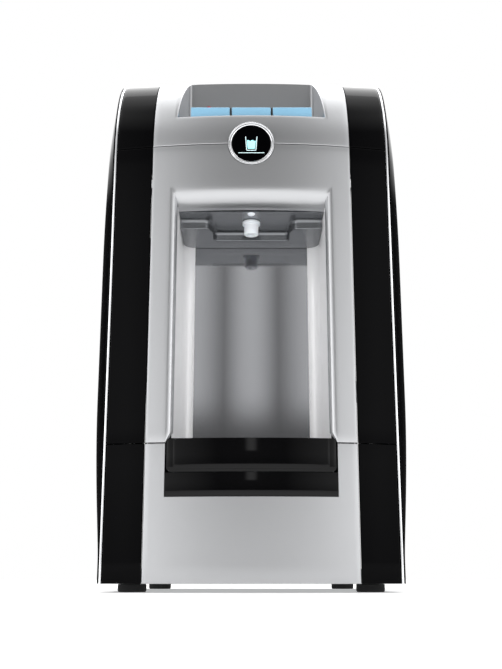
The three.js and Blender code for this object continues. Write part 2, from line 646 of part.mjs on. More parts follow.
function makeTanks() {
  const legX = INNER_HALF - 8;
  const legs = [NICHE_DEPTH + LINER_WALL + 14, BACK_D - 16];
  let frame = block(-legX, legX, legs[0] - 7, legs[1] + 7, SHELF_Z, SHELF_Z + SHEET);
  for (const x of [-legX + 6, legX - 6]) {
    for (const d of legs) {
      frame = join(frame, block(x - 6, x + 6, d - 7, d + 7, FOOT_H + SHEET + GAP, SHELF_Z + 1));
    }
  }
  add("tank_frame", frame, ZINC);

  const base = TANK_Z + JACKET_T;
  const room = 8;
  const jacketR = COLD_R + JACKET_T;
  add("cold_tank_jacket", turned([
    [0, TANK_Z], [jacketR, TANK_Z], [jacketR, base + TANK_H], [COLD_R + room, base + TANK_H],
    [COLD_R + room, base], [0, base]], COLD_X, TANK_D), FOAM);
  add("cold_tank", turned([
    [0, base + GAP], [COLD_R - 8, base + GAP], [COLD_R, base + 8], [COLD_R, base + TANK_H - 8],
    [COLD_R - 8, base + TANK_H], [9, base + TANK_H], [9, base + TANK_H + 8], [0, base + TANK_H + 8]],
  COLD_X, TANK_D), STEEL);
  const coil = [];
  const turns = 4;
  const perTurn = 14;
  const coilR = COLD_R + room / 2;
  for (let i = 0; i <= turns * perTurn; i += 1) {
    const angle = (2 * Math.PI * i) / perTurn;
    const z = base + 26 + (i / perTurn) * 28;
    coil.push([COLD_X + coilR * Math.cos(angle), TANK_D + coilR * Math.sin(angle), z]);
  }
  add("evaporator_coil", bar(coil, 2.2, turns * perTurn, 6), COPPER);

  const hot = turned([
    [0, TANK_Z], [HOT_R - 8, TANK_Z], [HOT_R, TANK_Z + 8], [HOT_R, TANK_Z + TANK_H - 8],
    [HOT_R - 8, TANK_Z + TANK_H], [9, TANK_Z + TANK_H], [9, TANK_Z + TANK_H + 8], [0, TANK_Z + TANK_H + 8]],
  HOT_X, TANK_D);
  const band = turned([
    [0, TANK_Z + 30], [HOT_R + 2, TANK_Z + 30], [HOT_R + 2, TANK_Z + 70], [0, TANK_Z + 70]], HOT_X, TANK_D);
  add("hot_tank", join(hot, band), STEEL);

  const filterD = TANK_D + HOT_R + 6 + FILTER_R;
  const filterTop = TANK_Z + 190;
  add("filter_cartridge", turned([
    [0, TANK_Z], [FILTER_R - 3, TANK_Z], [FILTER_R, TANK_Z + 4], [FILTER_R, filterTop - 26],
    [FILTER_R + 2, filterTop - 24], [FILTER_R + 2, filterTop], [0, filterTop]], HOT_X, filterD), WHITE);

  const line = (x, top, side) => bar([
    [x, TANK_D, top + GAP], [x, TANK_D, top + 3], [x, TANK_D - 14, top + 34],
    [side * 40, TANK_D - 60, top + 40],
    [side * 40, NOZZLE_D + 60, MANIFOLD_Z + 44], [side * 40, NOZZLE_D + 14, MANIFOLD_Z + 23.5],
    [side * 40, NOZZLE_D + 13 + GAP, MANIFOLD_Z + 23.5]], 3.2, 22);
  add("cold_water_line", line(COLD_X, base + TANK_H + 8, 1), WHITE);
  add("hot_water_line", line(HOT_X, TANK_Z + TANK_H + 8, -1), RED);
}

function makeCooling() {
  const x = 12;
  const d = BACK_D - COMPRESSOR_R - 24;
  const z = FOOT_H + SHEET + GAP;
  const profile = [[0, z + 12]];
  for (let i = 0; i <= 4; i += 1) {
    const turn = (Math.PI / 2) * (i / 4);
    profile.push([COMPRESSOR_R * (0.8 + 0.2 * Math.sin(turn)), z + 12 + 22 * (1 - Math.cos(turn))]);
  }
  for (let i = 0; i <= 5; i += 1) {
    const turn = (Math.PI / 2) * (i / 5);
    profile.push([COMPRESSOR_R * Math.cos(turn), z + COMPRESSOR_H - 40 + 40 * Math.sin(turn)]);
  }
  let compressor = join(
    turned(profile, x, d), block(x - 70, x + 70, d - 42, d + 42, z + 10, z + 14));
  for (const sx of [-1, 1]) {
    for (const sd of [-1, 1]) {
      compressor = join(compressor, rod(x + sx * 60, d + sd * 34, 9, z, z + 11, 16));
    }
  }
  add("compressor", compressor, DARK);

  const reach = 108;
  const lowest = 128;
  const centre = BACK_D + SHEET + 5.4;
  const pipe = (points, steps) => bar(points, CONDENSER_TUBE, steps, 6);
  let condenser = pipe([[-reach, centre, lowest], [reach + 1, centre, lowest]], 1);
  for (let pass = 1; pass < CONDENSER_PASSES; pass += 1) {
    const height = lowest + pass * CONDENSER_PITCH;
    const side = pass % 2 === 0 ? -1 : 1;
    const bend = [];
    for (let i = 0; i <= 6; i += 1) {
      const turn = (Math.PI * i) / 6 - Math.PI / 2;
      bend.push([
        side * (reach + (CONDENSER_PITCH / 2) * Math.cos(turn)), centre,
        height - CONDENSER_PITCH / 2 + (CONDENSER_PITCH / 2) * Math.sin(turn)]);
    }
    const straight = pipe([[-reach - 1, centre, height], [reach + 1, centre, height]], 1);
    condenser = join(condenser, straight, pipe(bend, 6));
  }
  const top = lowest + (CONDENSER_PASSES - 1) * CONDENSER_PITCH + 6;
  for (let i = 0; i < CONDENSER_WIRES; i += 1) {
    const wireX = -reach + 14 + (i * (2 * reach - 28)) / (CONDENSER_WIRES - 1);
    condenser = join(condenser, block(wireX - 1, wireX + 1, centre, centre + 3.2, lowest - 6, top));
  }
  add("condenser", condenser, BLACK);

  add("discharge_line", bar([
    [x + 30, d + 56, z + 92], [x + 50, d + 62, z + 100], [LINE_X, BACK_D - 16, LINE_Z - 2],
    [LINE_X, BACK_D - 4, LINE_Z], [LINE_X, BACK_D + 4, LINE_Z + 2],
    [reach, centre, lowest - CONDENSER_TUBE - 1]],
  CONDENSER_TUBE, 20, 6), COPPER);
}

// ---- Electrics ----------------------------------------------------------------------
function makeElectrics() {
  let board = block(-70, 70, BACK_D - 10, BACK_D - 8.4, HEIGHT - 128, HEIGHT - REAR_SKIRT - 8);
  board = join(
    board, block(-60, -24, BACK_D - 36, BACK_D - 9, HEIGHT - 118, HEIGHT - 86),
    block(-10, 10, BACK_D - 26, BACK_D - 9, HEIGHT - 116, HEIGHT - 92),
    block(22, 42, BACK_D - 26, BACK_D - 9, HEIGHT - 116, HEIGHT - 92));
  for (const x of [-64, 64]) {
    for (const z of [HEIGHT - 122, HEIGHT - REAR_SKIRT - 14]) {
      board = join(board, block(x - 3, x + 3, BACK_D - 9, BACK_D - GAP, z - 3, z + 3));
    }
  }
  add("control_board", board, BOARD);

  const face = BACK_D + SHEET + GAP;
  const socket = cut(
    join(
      block(POWER_X - 25, POWER_X + 25, face, face + 3, SOCKET_Z - 14, SOCKET_Z + 14),
      block(POWER_X - 14, POWER_X + 14, face - 20, face + 1, SOCKET_Z - 11, SOCKET_Z + 11)),
    block(POWER_X - 12, POWER_X + 12, face - 16, face + 5, SOCKET_Z - 8.5, SOCKET_Z + 8.5));
  let powered = socket;
  for (const [dx, dz] of [[-7, -2], [0, 2], [7, -2]]) {
    powered = join(powered, block(
      POWER_X + dx - 1, POWER_X + dx + 1, face - 17, face - 4, SOCKET_Z + dz - 2, SOCKET_Z + dz + 2));
  }
  add("power_inlet", powered, BLACK);

  let housing = join(
    block(SWITCH_X - SWITCH_BLOCK / 2 - 3, SWITCH_X + SWITCH_BLOCK / 2 + 3, face, face + 2,
      SOCKET_Z - SWITCH_H / 2 - 5, SOCKET_Z + SWITCH_H / 2 + 5),
    block(SWITCH_X - SWITCH_BLOCK / 2, SWITCH_X + SWITCH_BLOCK / 2, face - 16, face + 1,
      SOCKET_Z - SWITCH_H / 2 - 2, SOCKET_Z + SWITCH_H / 2 + 2));
  for (const side of [-1, 1]) {
    const x = SWITCH_X + side * SWITCH_OFFSET;
    housing = cut(housing, block(
      x - SWITCH_W / 2 - SWITCH_FIT, x + SWITCH_W / 2 + SWITCH_FIT, face - 13, face + 5,
      SOCKET_Z - SWITCH_H / 2 - SWITCH_FIT, SOCKET_Z + SWITCH_H / 2 + SWITCH_FIT));
  }
  add("switch_housing", housing, DARK);
  add("hot_switch", makeRocker(SWITCH_X - SWITCH_OFFSET, face), RED);
  add("cold_switch", makeRocker(SWITCH_X + SWITCH_OFFSET, face), GREEN);

  const inlet = [
    [INLET_BORE, face - 14], [INLET_R - 2, face - 14], [INLET_R - 2, face - 2.5], [INLET_R - 2, face],
    [INLET_R + 4, face], [INLET_R + 4, face + 3], [INLET_R - 0.5, face + 3], [INLET_R - 0.5, REAR - 0.5],
    [INLET_BORE, REAR - 0.5], [INLET_BORE, face - 14]];
  add("water_inlet", turnedY(inlet, WATER_X, SOCKET_Z, 20), BRASS);
}

// A rocker with two flat wings that meet at a shallow ridge; it starts tipped to off.
function makeRocker(x, face) {
  const half = SWITCH_H / 2;
  const tilt = THREE.MathUtils.degToRad(SWITCH_TILT);
  const drop = half * Math.tan(tilt);
  const outline = [
    [-7, -2], [-7, 2], [-half * 0.28, half - 1.4], [2 - drop, half - 1], [2, 0], [2 - drop, -half + 1],
    [-half * 0.28, -half + 1.4]];
  const shape = new THREE.Shape(outline.map(([d, z]) => point(d, z)).reverse());
  const geometry = new THREE.ExtrudeGeometry(shape, { depth: SWITCH_W, bevelEnabled: false });
  geometry.applyMatrix4(toX);
  geometry.translate(-SWITCH_W / 2, 0, 0);
  geometry.rotateX(-tilt);
  geometry.translate(x, FRONT + face, SOCKET_Z);
  return solid(geometry);
}

makeSilverFront();
makeColumns();
add("side_panel_left", makeSidePanel(-1), BLACK);
add("side_panel_right", makeSidePanel(1), BLACK);
makeBackPanel();
makeBase();
makeNiche();
makeNozzle();
makeTray();
makeBadge();
makeKeys();
makeValves();
makeTanks();
makeCooling();
makeElectrics();

export default model;
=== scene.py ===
# %% [markdown]
# # Countertop water dispenser
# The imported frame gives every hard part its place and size. This lesson rebuilds the parts
# that the eye meets as smooth, finished pieces: bowed moulded panels with soft edges, the
# rolled niche mouth, keys, tray, badge, louvres and pipework. Everything is in metres.

# %% Load the frame
from contextlib import contextmanager
from math import asin, cos, hypot, pi, radians, sin, sqrt

import bmesh
import bpy
from mathutils import Matrix, Vector


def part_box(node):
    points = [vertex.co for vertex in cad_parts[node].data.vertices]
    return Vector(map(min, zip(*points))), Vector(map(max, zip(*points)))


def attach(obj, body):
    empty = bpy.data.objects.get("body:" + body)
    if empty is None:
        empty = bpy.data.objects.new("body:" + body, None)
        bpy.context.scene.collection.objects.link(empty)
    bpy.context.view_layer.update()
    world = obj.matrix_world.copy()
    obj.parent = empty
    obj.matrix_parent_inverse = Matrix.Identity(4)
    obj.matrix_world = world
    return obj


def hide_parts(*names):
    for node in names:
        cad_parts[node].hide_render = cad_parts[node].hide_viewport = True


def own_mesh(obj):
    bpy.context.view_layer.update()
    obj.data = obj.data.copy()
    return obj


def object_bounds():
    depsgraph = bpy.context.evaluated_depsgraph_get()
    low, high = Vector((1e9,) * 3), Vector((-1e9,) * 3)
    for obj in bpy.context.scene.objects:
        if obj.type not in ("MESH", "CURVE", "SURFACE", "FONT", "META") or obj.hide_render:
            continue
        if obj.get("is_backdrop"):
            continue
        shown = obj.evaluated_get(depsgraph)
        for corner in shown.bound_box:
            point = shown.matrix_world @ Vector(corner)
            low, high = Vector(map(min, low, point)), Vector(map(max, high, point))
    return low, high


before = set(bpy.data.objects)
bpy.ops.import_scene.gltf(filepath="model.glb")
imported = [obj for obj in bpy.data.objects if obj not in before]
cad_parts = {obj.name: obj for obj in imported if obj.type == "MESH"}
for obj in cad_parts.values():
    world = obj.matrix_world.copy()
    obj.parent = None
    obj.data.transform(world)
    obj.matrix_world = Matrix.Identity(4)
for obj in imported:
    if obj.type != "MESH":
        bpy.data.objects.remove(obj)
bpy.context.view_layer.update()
scene = bpy.context.scene
MM = 0.001

# %% [markdown]
# The casing follows one rule. Seen from the side it is upright, rolls back over a large
# radius, runs flat and drops over a small rear radius. Seen from above the front bows
# outwards, and that bow fades away as the surface rolls back. One function holds the rule,
# so panels, columns and trims made from it always meet.

# %% The casing surface
TOP_ROLL = 135 * MM
REAR_ROLL = 26 * MM
FRONT_BOW = 616 * MM
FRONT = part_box("lower_front_panel")[0].y
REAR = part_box("side_panel_left")[1].y - FRONT
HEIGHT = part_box("top_cover")[1].z
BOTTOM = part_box("lower_front_panel")[0].z
ROLL_START = HEIGHT - TOP_ROLL


def bow_at(x):
    return FRONT_BOW - sqrt(FRONT_BOW ** 2 - x ** 2)


def quarter(steps):
    """Angles that divide a quarter turn evenly."""
    return [pi / 2 * i / steps for i in range(steps + 1)]


def middle_of(box):
    return (box[0] + box[1]) / 2


def on_casing(x, d, z):
    """A point given by its distance d behind a straight front, swept back by the bow."""
    fade = max(0.0, 1 - d / TOP_ROLL)
    return Vector((x, FRONT + d + bow_at(x) * fade, z))


def face_depth(z):
    rise = min(1.0, max(0.0, z - ROLL_START) / TOP_ROLL)
    return TOP_ROLL * (1 - sqrt(1 - rise ** 2))


def side_profile(z_from, z_rear=None, steps=28):
    """Points [d, z] up the front from z_from, and over the top down to z_rear."""
    points = []
    if z_from < ROLL_START:
        points = [(0.0, z_from + (ROLL_START - z_from) * i / 10) for i in range(10)]
        start = 0.0
    else:
        start = asin((z_from - ROLL_START) / TOP_ROLL)
    for i in range(steps + 1):
        turn = start + (pi / 2 - start) * i / steps
        points.append((TOP_ROLL * (1 - cos(turn)), ROLL_START + TOP_ROLL * sin(turn)))
    for i in range(1, 9):
        points.append((TOP_ROLL + (REAR - REAR_ROLL - TOP_ROLL) * i / 8, HEIGHT))
    for turn in quarter(8)[1:]:
        rear = REAR - REAR_ROLL * (1 - sin(turn))
        points.append((rear, HEIGHT - REAR_ROLL * (1 - cos(turn))))
    points.append((REAR, z_rear))
    return points


print("casing", round(HEIGHT, 4), "high,", round(REAR, 4), "deep behind its front")

# %% [markdown]
# A mesh can be written out as points and faces. Here every bowed or rolled piece is a grid
# of points, because a clean grid shades well. A short "with" block opens a mesh for editing
# and stores it again, so no edit forgets to put its result back.

# %% Points, grids and meshes
@contextmanager
def editing(mesh):
    bm = bmesh.new()
    bm.from_mesh(mesh)
    yield bm
    bm.to_mesh(mesh)
    bm.free()


def new_object(name, mesh):
    obj = bpy.data.objects.new(name, mesh)
    scene.collection.objects.link(obj)
    return obj


def from_faces(name, points, faces):
    mesh = bpy.data.meshes.new(name)
    mesh.from_pydata([tuple(p) for p in points], [], faces)
    with editing(mesh) as bm:
        bmesh.ops.remove_doubles(bm, verts=bm.verts, dist=1e-6)
        bmesh.ops.dissolve_degenerate(bm, edges=bm.edges, dist=1e-7)
    return new_object(name, mesh)


def grid_faces(rows, columns, closed=False):
    faces = []
    for i in range(rows - 1):
        this, following = i * columns, (i + 1) * columns
        for j in range(columns if closed else columns - 1):
            k = (j + 1) % columns
            faces.append((this + j, this + k, following + k, following + j))
    return faces


print("a grid of 3 by 3 points has", len(grid_faces(3, 3)), "faces")

# %% [markdown]
# Faces have a front and a back. A closed piece can have its normals worked out, but an open
# sheet can't, so a sheet that was drawn the wrong way round is turned over by hand.

# %% Which way the faces point
def outward(obj):
    with editing(obj.data) as bm:
        bmesh.ops.remove_doubles(bm, verts=bm.verts, dist=1e-6)
        bmesh.ops.recalc_face_normals(bm, faces=bm.faces)
    return obj


def turned_over(obj):
    for polygon in obj.data.polygons:
        polygon.flip()
    return obj


print("made: outward, turned_over")

# %% [markdown]
# Modifiers finish what the grid began. Solidify gives a sheet its moulded wall, Bevel rounds
# the edges and Boolean cuts openings. Each is applied at once, so a piece stays one plain
# mesh whose object sits at the origin.

# %% Walls, soft edges and cuts
def plain(obj):
    """Applies the modifiers and leaves one mesh object of the same name."""
    dg = bpy.context.evaluated_depsgraph_get()
    mesh = bpy.data.meshes.new_from_object(obj.evaluated_get(dg))
    obj.modifiers.clear()
    obj.data = mesh
    return obj


def thicken(obj, wall):
    solid = obj.modifiers.new("wall", "SOLIDIFY")
    solid.thickness = wall
    solid.offset = -1
    return plain(obj)


def soften(obj, width, segments=3, angle=35):
    bevel = obj.modifiers.new("edges", "BEVEL")
    bevel.width = width
    bevel.segments = segments
    bevel.limit_method = "ANGLE"
    bevel.angle_limit = radians(angle)
    return plain(obj)


def carve(obj, *cutters):
    for cutter in cutters:
        cut = obj.modifiers.new("cut", "BOOLEAN")
        cut.object = cutter
        cut.operation = "DIFFERENCE"
        cut.solver = "EXACT"
        plain(obj)
        bpy.data.objects.remove(cutter)
    return obj


print("made: plain, thicken, soften, carve")

# %% [markdown]
# A finish is more than a colour. Each material below starts from how its surface is made.
# One helper adds a node with its settings and inputs. An input can be a number, a socket or
# another node, so a material reads like a recipe.

# %% One helper for every node
def linear(hex_colour):
    channels = [int(hex_colour[i:i + 2], 16) / 255 for i in (1, 3, 5)]
    return (*(c / 12.92 if c <= 0.04045 else ((c + 0.055) / 1.055) ** 2.4 for c in channels), 1.0)


def add_node(tree, kind, settings=None, **inputs):
    """Inputs go by name, with _ for a space, or by number as i0, i1 and so on."""
    node = tree.nodes.new(kind)
    for key, value in (settings or {}).items():
        setattr(node, key, value)
    for key, value in inputs.items():
        numbered = key[0] == "i" and key[1:].isdigit()
        socket = node.inputs[int(key[1:]) if numbered else key.replace("_", " ")]
        if isinstance(value, bpy.types.Node):
            value = value.outputs[0]
        if isinstance(value, bpy.types.NodeSocket):
            tree.links.new(value, socket)
        else:
            socket.default_value = value
    return node


print("mid grey in linear light", round(linear("#808080")[0], 3))

# %% [markdown]
# Real surfaces vary. A broad noise shifts the tone and the roughness a little, and a fine
# one gives relief. The grain is given in millimetres, so its scale is that of the real one.

# %% A surface that varies at real sizes
def surface(name, colour, roughness, metallic=0.0, grain_mm=0.0, depth_mm=0.0, vary=0.06,
            tint=0.04, stretch=(1, 1, 1), **shader):
    material = bpy.data.materials.new(name)
    material.use_nodes = True
    tree = material.node_tree
    bsdf = tree.nodes["Principled BSDF"]
    place = add_node(tree, "ShaderNodeTexCoord").outputs["Object"]
    broad = add_node(tree, "ShaderNodeTexNoise", Vector=place, Scale=14.0, Detail=3.0)
    patches = broad.outputs["Fac"]
    rough = add_node(tree, "ShaderNodeMapRange", Value=patches,
                     To_Min=max(0.02, roughness * (1 - vary)),
                     To_Max=min(1.0, roughness * (1 + vary)))
    tree.links.new(rough.outputs["Result"], bsdf.inputs["Roughness"])
    base = linear(colour)
    darker = (*(c * (1 - tint) for c in base[:3]), 1.0)
    tone = add_node(tree, "ShaderNodeMix", {"data_type": "RGBA"}, i0=patches, i6=base, i7=darker)
    tree.links.new(tone.outputs[2], bsdf.inputs["Base Color"])
    bsdf.inputs["Metallic"].default_value = metallic
    if grain_mm:
        along = add_node(tree, "ShaderNodeMapping", Vector=place, Scale=stretch)
        fine = add_node(tree, "ShaderNodeTexNoise", Vector=along, Detail=2.0,
                        Scale=1 / (grain_mm * MM))
        bump = add_node(tree, "ShaderNodeBump", Height=fine.outputs["Fac"], Strength=1.0,
                        Distance=depth_mm * MM)
        tree.links.new(bump.outputs["Normal"], bsdf.inputs["Normal"])
    for key, value in shader.items():
        bsdf.inputs[key.replace("_", " ")].default_value = value
    return material


print("made: surface")

# %% [markdown]
# The silver is lacquer over ABS: aluminium flake under a satin clear coat. In the niche the
# same lacquer has painted shade on its back, floor and hood, and painted light on its cheeks.

# %% Silver finishes
# Flake under satin clear coat: a soft, wide sheen.
silver_lacquer = surface("silver_lacquer", "#BDBEC0", 0.34, metallic=0.88, grain_mm=0.6,
                         depth_mm=0.004, Coat_Weight=0.15, Coat_Roughness=0.2)
# The niche is lacquered more smoothly, so its corners flash brightly. Its darker colour is
# painted shade for the back plate and floor, which lie in the niche's shadow.
niche_lacquer = surface("niche_lacquer", "#98999C", 0.085, metallic=0.95, grain_mm=0.8,
                        depth_mm=0.001)
# The cheeks scatter more, and their near-white colour is painted light, so they stay bright
# beside the back plate.
cheek_lacquer = surface("cheek_lacquer", "#FAFAFB", 0.30, metallic=0.1, grain_mm=0.8,
                        depth_mm=0.003, tint=0.02)
# The hood and ceiling are the same satin lacquer in a darker colour: painted shade, as they
# face down into the niche.
hood_lacquer = surface("hood_lacquer", "#7C7E81", 0.24, metallic=0.85, grain_mm=0.7,
                       depth_mm=0.003)
print("silver finishes ready")

# %% [markdown]
# Gloss black ABS comes out of a polished tool, so its reflections stay sharp with a faint
# orange peel some 9 mm across. Black parts out of sight have a fine, dull texture instead.

# %% Black plastics and rubber
# The tray wears a hard clear coat against scratches, so its edges flash.
tray_gloss = surface("coated_black_abs", "#030304", 0.05, grain_mm=9, depth_mm=0.003, vary=0.3,
                     Coat_Weight=0.14, Coat_Roughness=0.03, Specular_IOR_Level=0.16)
piano_black = surface("piano_black_abs", "#020203", 0.06, grain_mm=9, depth_mm=0.004, vary=0.3,
                      Specular_IOR_Level=0.05)
dark_abs = surface("textured_dark_abs", "#191A1C", 0.55, grain_mm=0.9, depth_mm=0.03, vary=0.15)
rubber_foot = surface("moulded_rubber", "#1B1B1C", 0.8, grain_mm=0.7, depth_mm=0.03, vary=0.1)
# Powder coat is rough like fine orange skin; a dipped wire is smoother.
back_paint = surface("powder_coated_steel", "#222325", 0.48, grain_mm=1.1, depth_mm=0.03, vary=0.2)
condenser_paint = surface("black_dipped_wire", "#101113", 0.36, grain_mm=2, depth_mm=0.02,
                          vary=0.25)
print("black finishes ready")

# %% [markdown]
# Metals keep the shader's usual IOR and differ in colour, roughness and the mark of their
# making: brushed lines, drawn tube, the large crystals of zinc.

# %% Metals
# Chromed trim: mirror plate over plastic.
chrome_plate = surface("chrome_plated_abs", "#E4E5E7", 0.10, metallic=1.0, vary=0.2, tint=0.02)
brushed_stainless = surface("brushed_stainless", "#BEBFC0", 0.28, metallic=1.0, grain_mm=0.9,
                            depth_mm=0.01, stretch=(0.04, 1, 1))
bright_stainless = surface("drawn_stainless", "#C8C9CA", 0.22, metallic=1.0, grain_mm=1.2,
                           depth_mm=0.008)
zinc_sheet = surface("galvanised_sheet", "#A2A6A8", 0.42, metallic=0.95, grain_mm=7,
                     depth_mm=0.01, vary=0.4, tint=0.25)
copper_pipe = surface("drawn_copper", "#C07A50", 0.26, metallic=1.0, grain_mm=2.5,
                      depth_mm=0.006, vary=0.4, tint=0.2)
brass_fitting = surface("turned_brass", "#C3A25A", 0.24, metallic=1.0, grain_mm=0.5,
                        depth_mm=0.006)
print("metals ready")

# %% [markdown]
# The rest are coloured plastics, the foam round the cold tank, the circuit boards and two
# printed inks with a painted glow, as if they were lit from behind.

# %% Coloured plastics, foam and inks
key_blue = surface("pale_blue_polycarbonate", "#92C5E3", 0.30, grain_mm=1.2, depth_mm=0.004,
                   tint=0.02)
key_red = surface("red_acetal", "#B8121F", 0.34, grain_mm=0.8, depth_mm=0.004)
white_pp = surface("white_polypropylene", "#EDF0F4", 0.28, grain_mm=1.6, depth_mm=0.005,
                   tint=0.02, Subsurface_Weight=0.05)
foam_jacket = surface("expanded_foam", "#E6E2D4", 0.9, grain_mm=3.2, depth_mm=0.25, tint=0.12)
board_green = surface("soldermask_board", "#1F5B39", 0.42, grain_mm=2.2, depth_mm=0.02, tint=0.25)
switch_green = surface("green_rocker_abs", "#1E7A45", 0.25, grain_mm=2, depth_mm=0.004)
# The emission on both inks is a painted glow: they are print, not lamps.
icon_cyan = surface("cyan_print", "#A6EEF4", 0.35, grain_mm=1, depth_mm=0.002, tint=0.02,
                    Emission_Color=linear("#9EEFF5"), Emission_Strength=0.6)
icon_line = surface("pale_cyan_line", "#DDF8FA", 0.35, grain_mm=1, depth_mm=0.002, tint=0.02,
                    Emission_Color=linear("#DDF8FA"), Emission_Strength=0.25)
print(len(bpy.data.materials), "materials in hand")

# %% [markdown]
# Every piece ends the same way: it gets its finish, its smooth shading with crisp creases,
# the body that it moves with and the frame nodes that it stands for.

# %% Hand a piece over
def settle(obj, material, *nodes, body="housing", crease=32):
    obj.data.materials.clear()
    obj.data.materials.append(material)
    for polygon in obj.data.polygons:
        polygon.use_smooth = True
        polygon.material_index = 0
    obj.data.set_sharp_from_angle(angle=radians(crease))
    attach(obj, body)
    if nodes:
        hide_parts(*nodes)
    return obj


print("made: settle")

# %% [markdown]
# The columns, trims and lower panel are strips of the casing surface. Each strip is drawn
# across in x and along the side profile, and its rim is tucked in by a small quarter-round,
# because a moulded part never has a knife edge: those radii are what catch the light.

# %% Strips of casing
def spread(low, high, rim, inner_steps):
    """Positions from low to high, packed closely inside the rim at both ends."""
    edge = [rim * (1 - cos(turn)) for turn in quarter(5)]
    step = high - low - 2 * rim
    middle = [low + rim + step * i / inner_steps for i in range(1, inner_steps)]
    return [low + e for e in edge] + middle + [high - e for e in reversed(edge)]


def tuck(distance, rim):
    inside = max(0.0, rim - distance)
    return rim - sqrt(max(0.0, rim ** 2 - inside ** 2))


def resample(profile, rim, inner_steps):
    """Spaces points along a [d, z] profile, close together at its two ends."""
    lengths = [0.0]
    for (d0, z0), (d1, z1) in zip(profile, profile[1:]):
        lengths.append(lengths[-1] + hypot(d1 - d0, z1 - z0))
    result = []
    for s in spread(0.0, lengths[-1], rim, inner_steps):
        k = max(i for i, length in enumerate(lengths) if length <= s + 1e-9)
        k = min(k, len(profile) - 2)
        share = (s - lengths[k]) / (lengths[k + 1] - lengths[k])
        (d0, z0), (d1, z1) = profile[k], profile[k + 1]
        size = hypot(d1 - d0, z1 - z0)
        inward = ((z1 - z0) / size, -(d1 - d0) / size)
        d, z = d0 + (d1 - d0) * share, z0 + (z1 - z0) * share
        result.append((d, z, inward, s, lengths[-1] - s))
    return result


print("tucked in at the very rim", round(tuck(0, 0.8 * MM), 4))

# %% [markdown]
# Solidify would spread a thick wall sideways at a strip's edges. Writing out both skins and
# the border between them keeps the wall exactly as wide as the frame's box.

# %% A closed wall between two skins
def shell(name, outer, inner, rows, columns):
    """A closed wall between two grids of points that share rows and columns."""
    count = rows * columns
    faces = grid_faces(rows, columns)
    faces += [tuple(reversed([k + count for k in face])) for face in faces]
    border = list(range(columns)) + [i * columns + columns - 1 for i in range(1, rows)]
    border += [count - 2 - j for j in range(columns - 1)]
    border += [i * columns for i in range(rows - 2, 0, -1)]
    for a, b in zip(border, border[1:] + border[:1]):
        faces.append((b, a, a + count, b + count))
    return outward(from_faces(name, outer + inner, faces))


def casing_strip(name, x0, x1, profile, steps, wall=2.5 * MM, rim=0.8 * MM, side_rims=None,
                 across=14):
    rim_left, rim_right = side_rims or (rim, rim)
    xs = spread(x0, x1, max(rim_left, rim_right), across)
    rows = resample(profile, rim, steps)
    outer, inner = [], []
    for d, z, (in_d, in_z), s, rest in rows:
        for x in xs:
            depth = max(tuck(s, rim), tuck(rest, rim), tuck(x - x0, rim_left),
                        tuck(x1 - x, rim_right))
            outer.append(on_casing(x, d + in_d * depth, z + in_z * depth))
            inner.append(on_casing(x, d + in_d * wall, z + in_z * wall))
    return shell(name, outer, inner, len(rows), len(xs))


print("made: shell, casing_strip")

# %% [markdown]
# A black column stands left and right of the silver in three tiers. Beside it runs a bright
# trim, which goes up the front, over the top and down the back in one piece.

# %% Columns and edge trims
def straight(node):
    low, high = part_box(node)
    top = high.z
    if top <= ROLL_START:
        return [(0.0, low.z), (0.0, top)]
    limit = asin((top - ROLL_START) / TOP_ROLL)
    turns = [limit * i / 8 for i in range(9)]
    arc = [(TOP_ROLL * (1 - cos(t)), ROLL_START + TOP_ROLL * sin(t)) for t in turns]
    return [(0.0, low.z)] + arc


for label, side in (("left", -1), ("right", 1)):
    for tier, steps in (("lower", 6), ("mid", 16), ("top", 60)):
        node = f"{tier}_column_{label}"
        low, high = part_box(node)
        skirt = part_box("back_panel")[1].z + 1 * MM
        profile = side_profile(low.z, skirt) if tier == "top" else straight(node)
        soft = (1.6 * MM, 0.8 * MM) if side < 0 else (0.8 * MM, 1.6 * MM)
        strip = casing_strip(f"{node}_skin", low.x, high.x, profile, steps, side_rims=soft)
        settle(strip, piano_black, node)
    node = f"edge_trim_{label}"
    low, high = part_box(node)
    run = side_profile(low.z, low.z + 1 * MM, steps=32)
    band = casing_strip(f"{node}_skin", low.x, high.x, run, 70, wall=8 * MM, rim=0.7 * MM, across=4)
    settle(band, chrome_plate, node)
print("columns and trims made")

# %% [markdown]
# The side panels swell like a shallow pillow between the trims. Their rule is a rise that
# starts at zero along every edge and levels out, so the panel fades into the bright trim.

# %% Swelling side panels
def rise(distance, reach):
    return 1 - max(0.0, 1 - distance / reach) ** 2


def side_panel(side):
    node = "side_panel_left" if side < 0 else "side_panel_right"
    low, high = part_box(node)
    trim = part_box("edge_trim_right")[1].x + 0.3 * MM
    swell_max = high.x - trim - 1 * MM if side > 0 else -low.x - trim - 1 * MM
    points = []
    rows, columns = 64, 48
    for i in range(rows + 1):
        up = i / rows
        turn = max(0.0, up - 0.5) * pi
        above = ROLL_START + TOP_ROLL * sin(turn)
        z = BOTTOM + (ROLL_START - BOTTOM) * up * 2 if up < 0.5 else above
        start = bow_at(trim) + (TOP_ROLL - bow_at(trim)) * (1 - cos(turn))
        drop = max(0.0, z - (HEIGHT - REAR_ROLL)) / REAR_ROLL
        end = REAR - REAR_ROLL * (1 - sqrt(max(0.0, 1 - drop ** 2)))
        for j in range(columns + 1):
            d = start + (end - start) * (j / columns) ** 1.6
            swell = rise(d - start, 42 * MM) * rise(z - BOTTOM + 8 * MM, 190 * MM)
            swell *= rise(HEIGHT - z, 240 * MM) * rise(end - d + 30 * MM, 70 * MM)
            x = trim + 1 * MM + swell_max * swell
            points.append(Vector((side * x, FRONT + d, z)))
    faces = grid_faces(rows + 1, columns + 1)
    if side < 0:
        faces = [tuple(reversed(f)) for f in faces]
    panel = thicken(from_faces(f"{node}_skin", points, faces), 0.9 * MM)
    settle(panel, piano_black, node)


for side in (-1, 1):
    side_panel(side)
print("side panels made")

# %% [markdown]
# The lower panel is one strip with a window for the tray front and the fascia. The window
# is cut by a block after the wall is made.

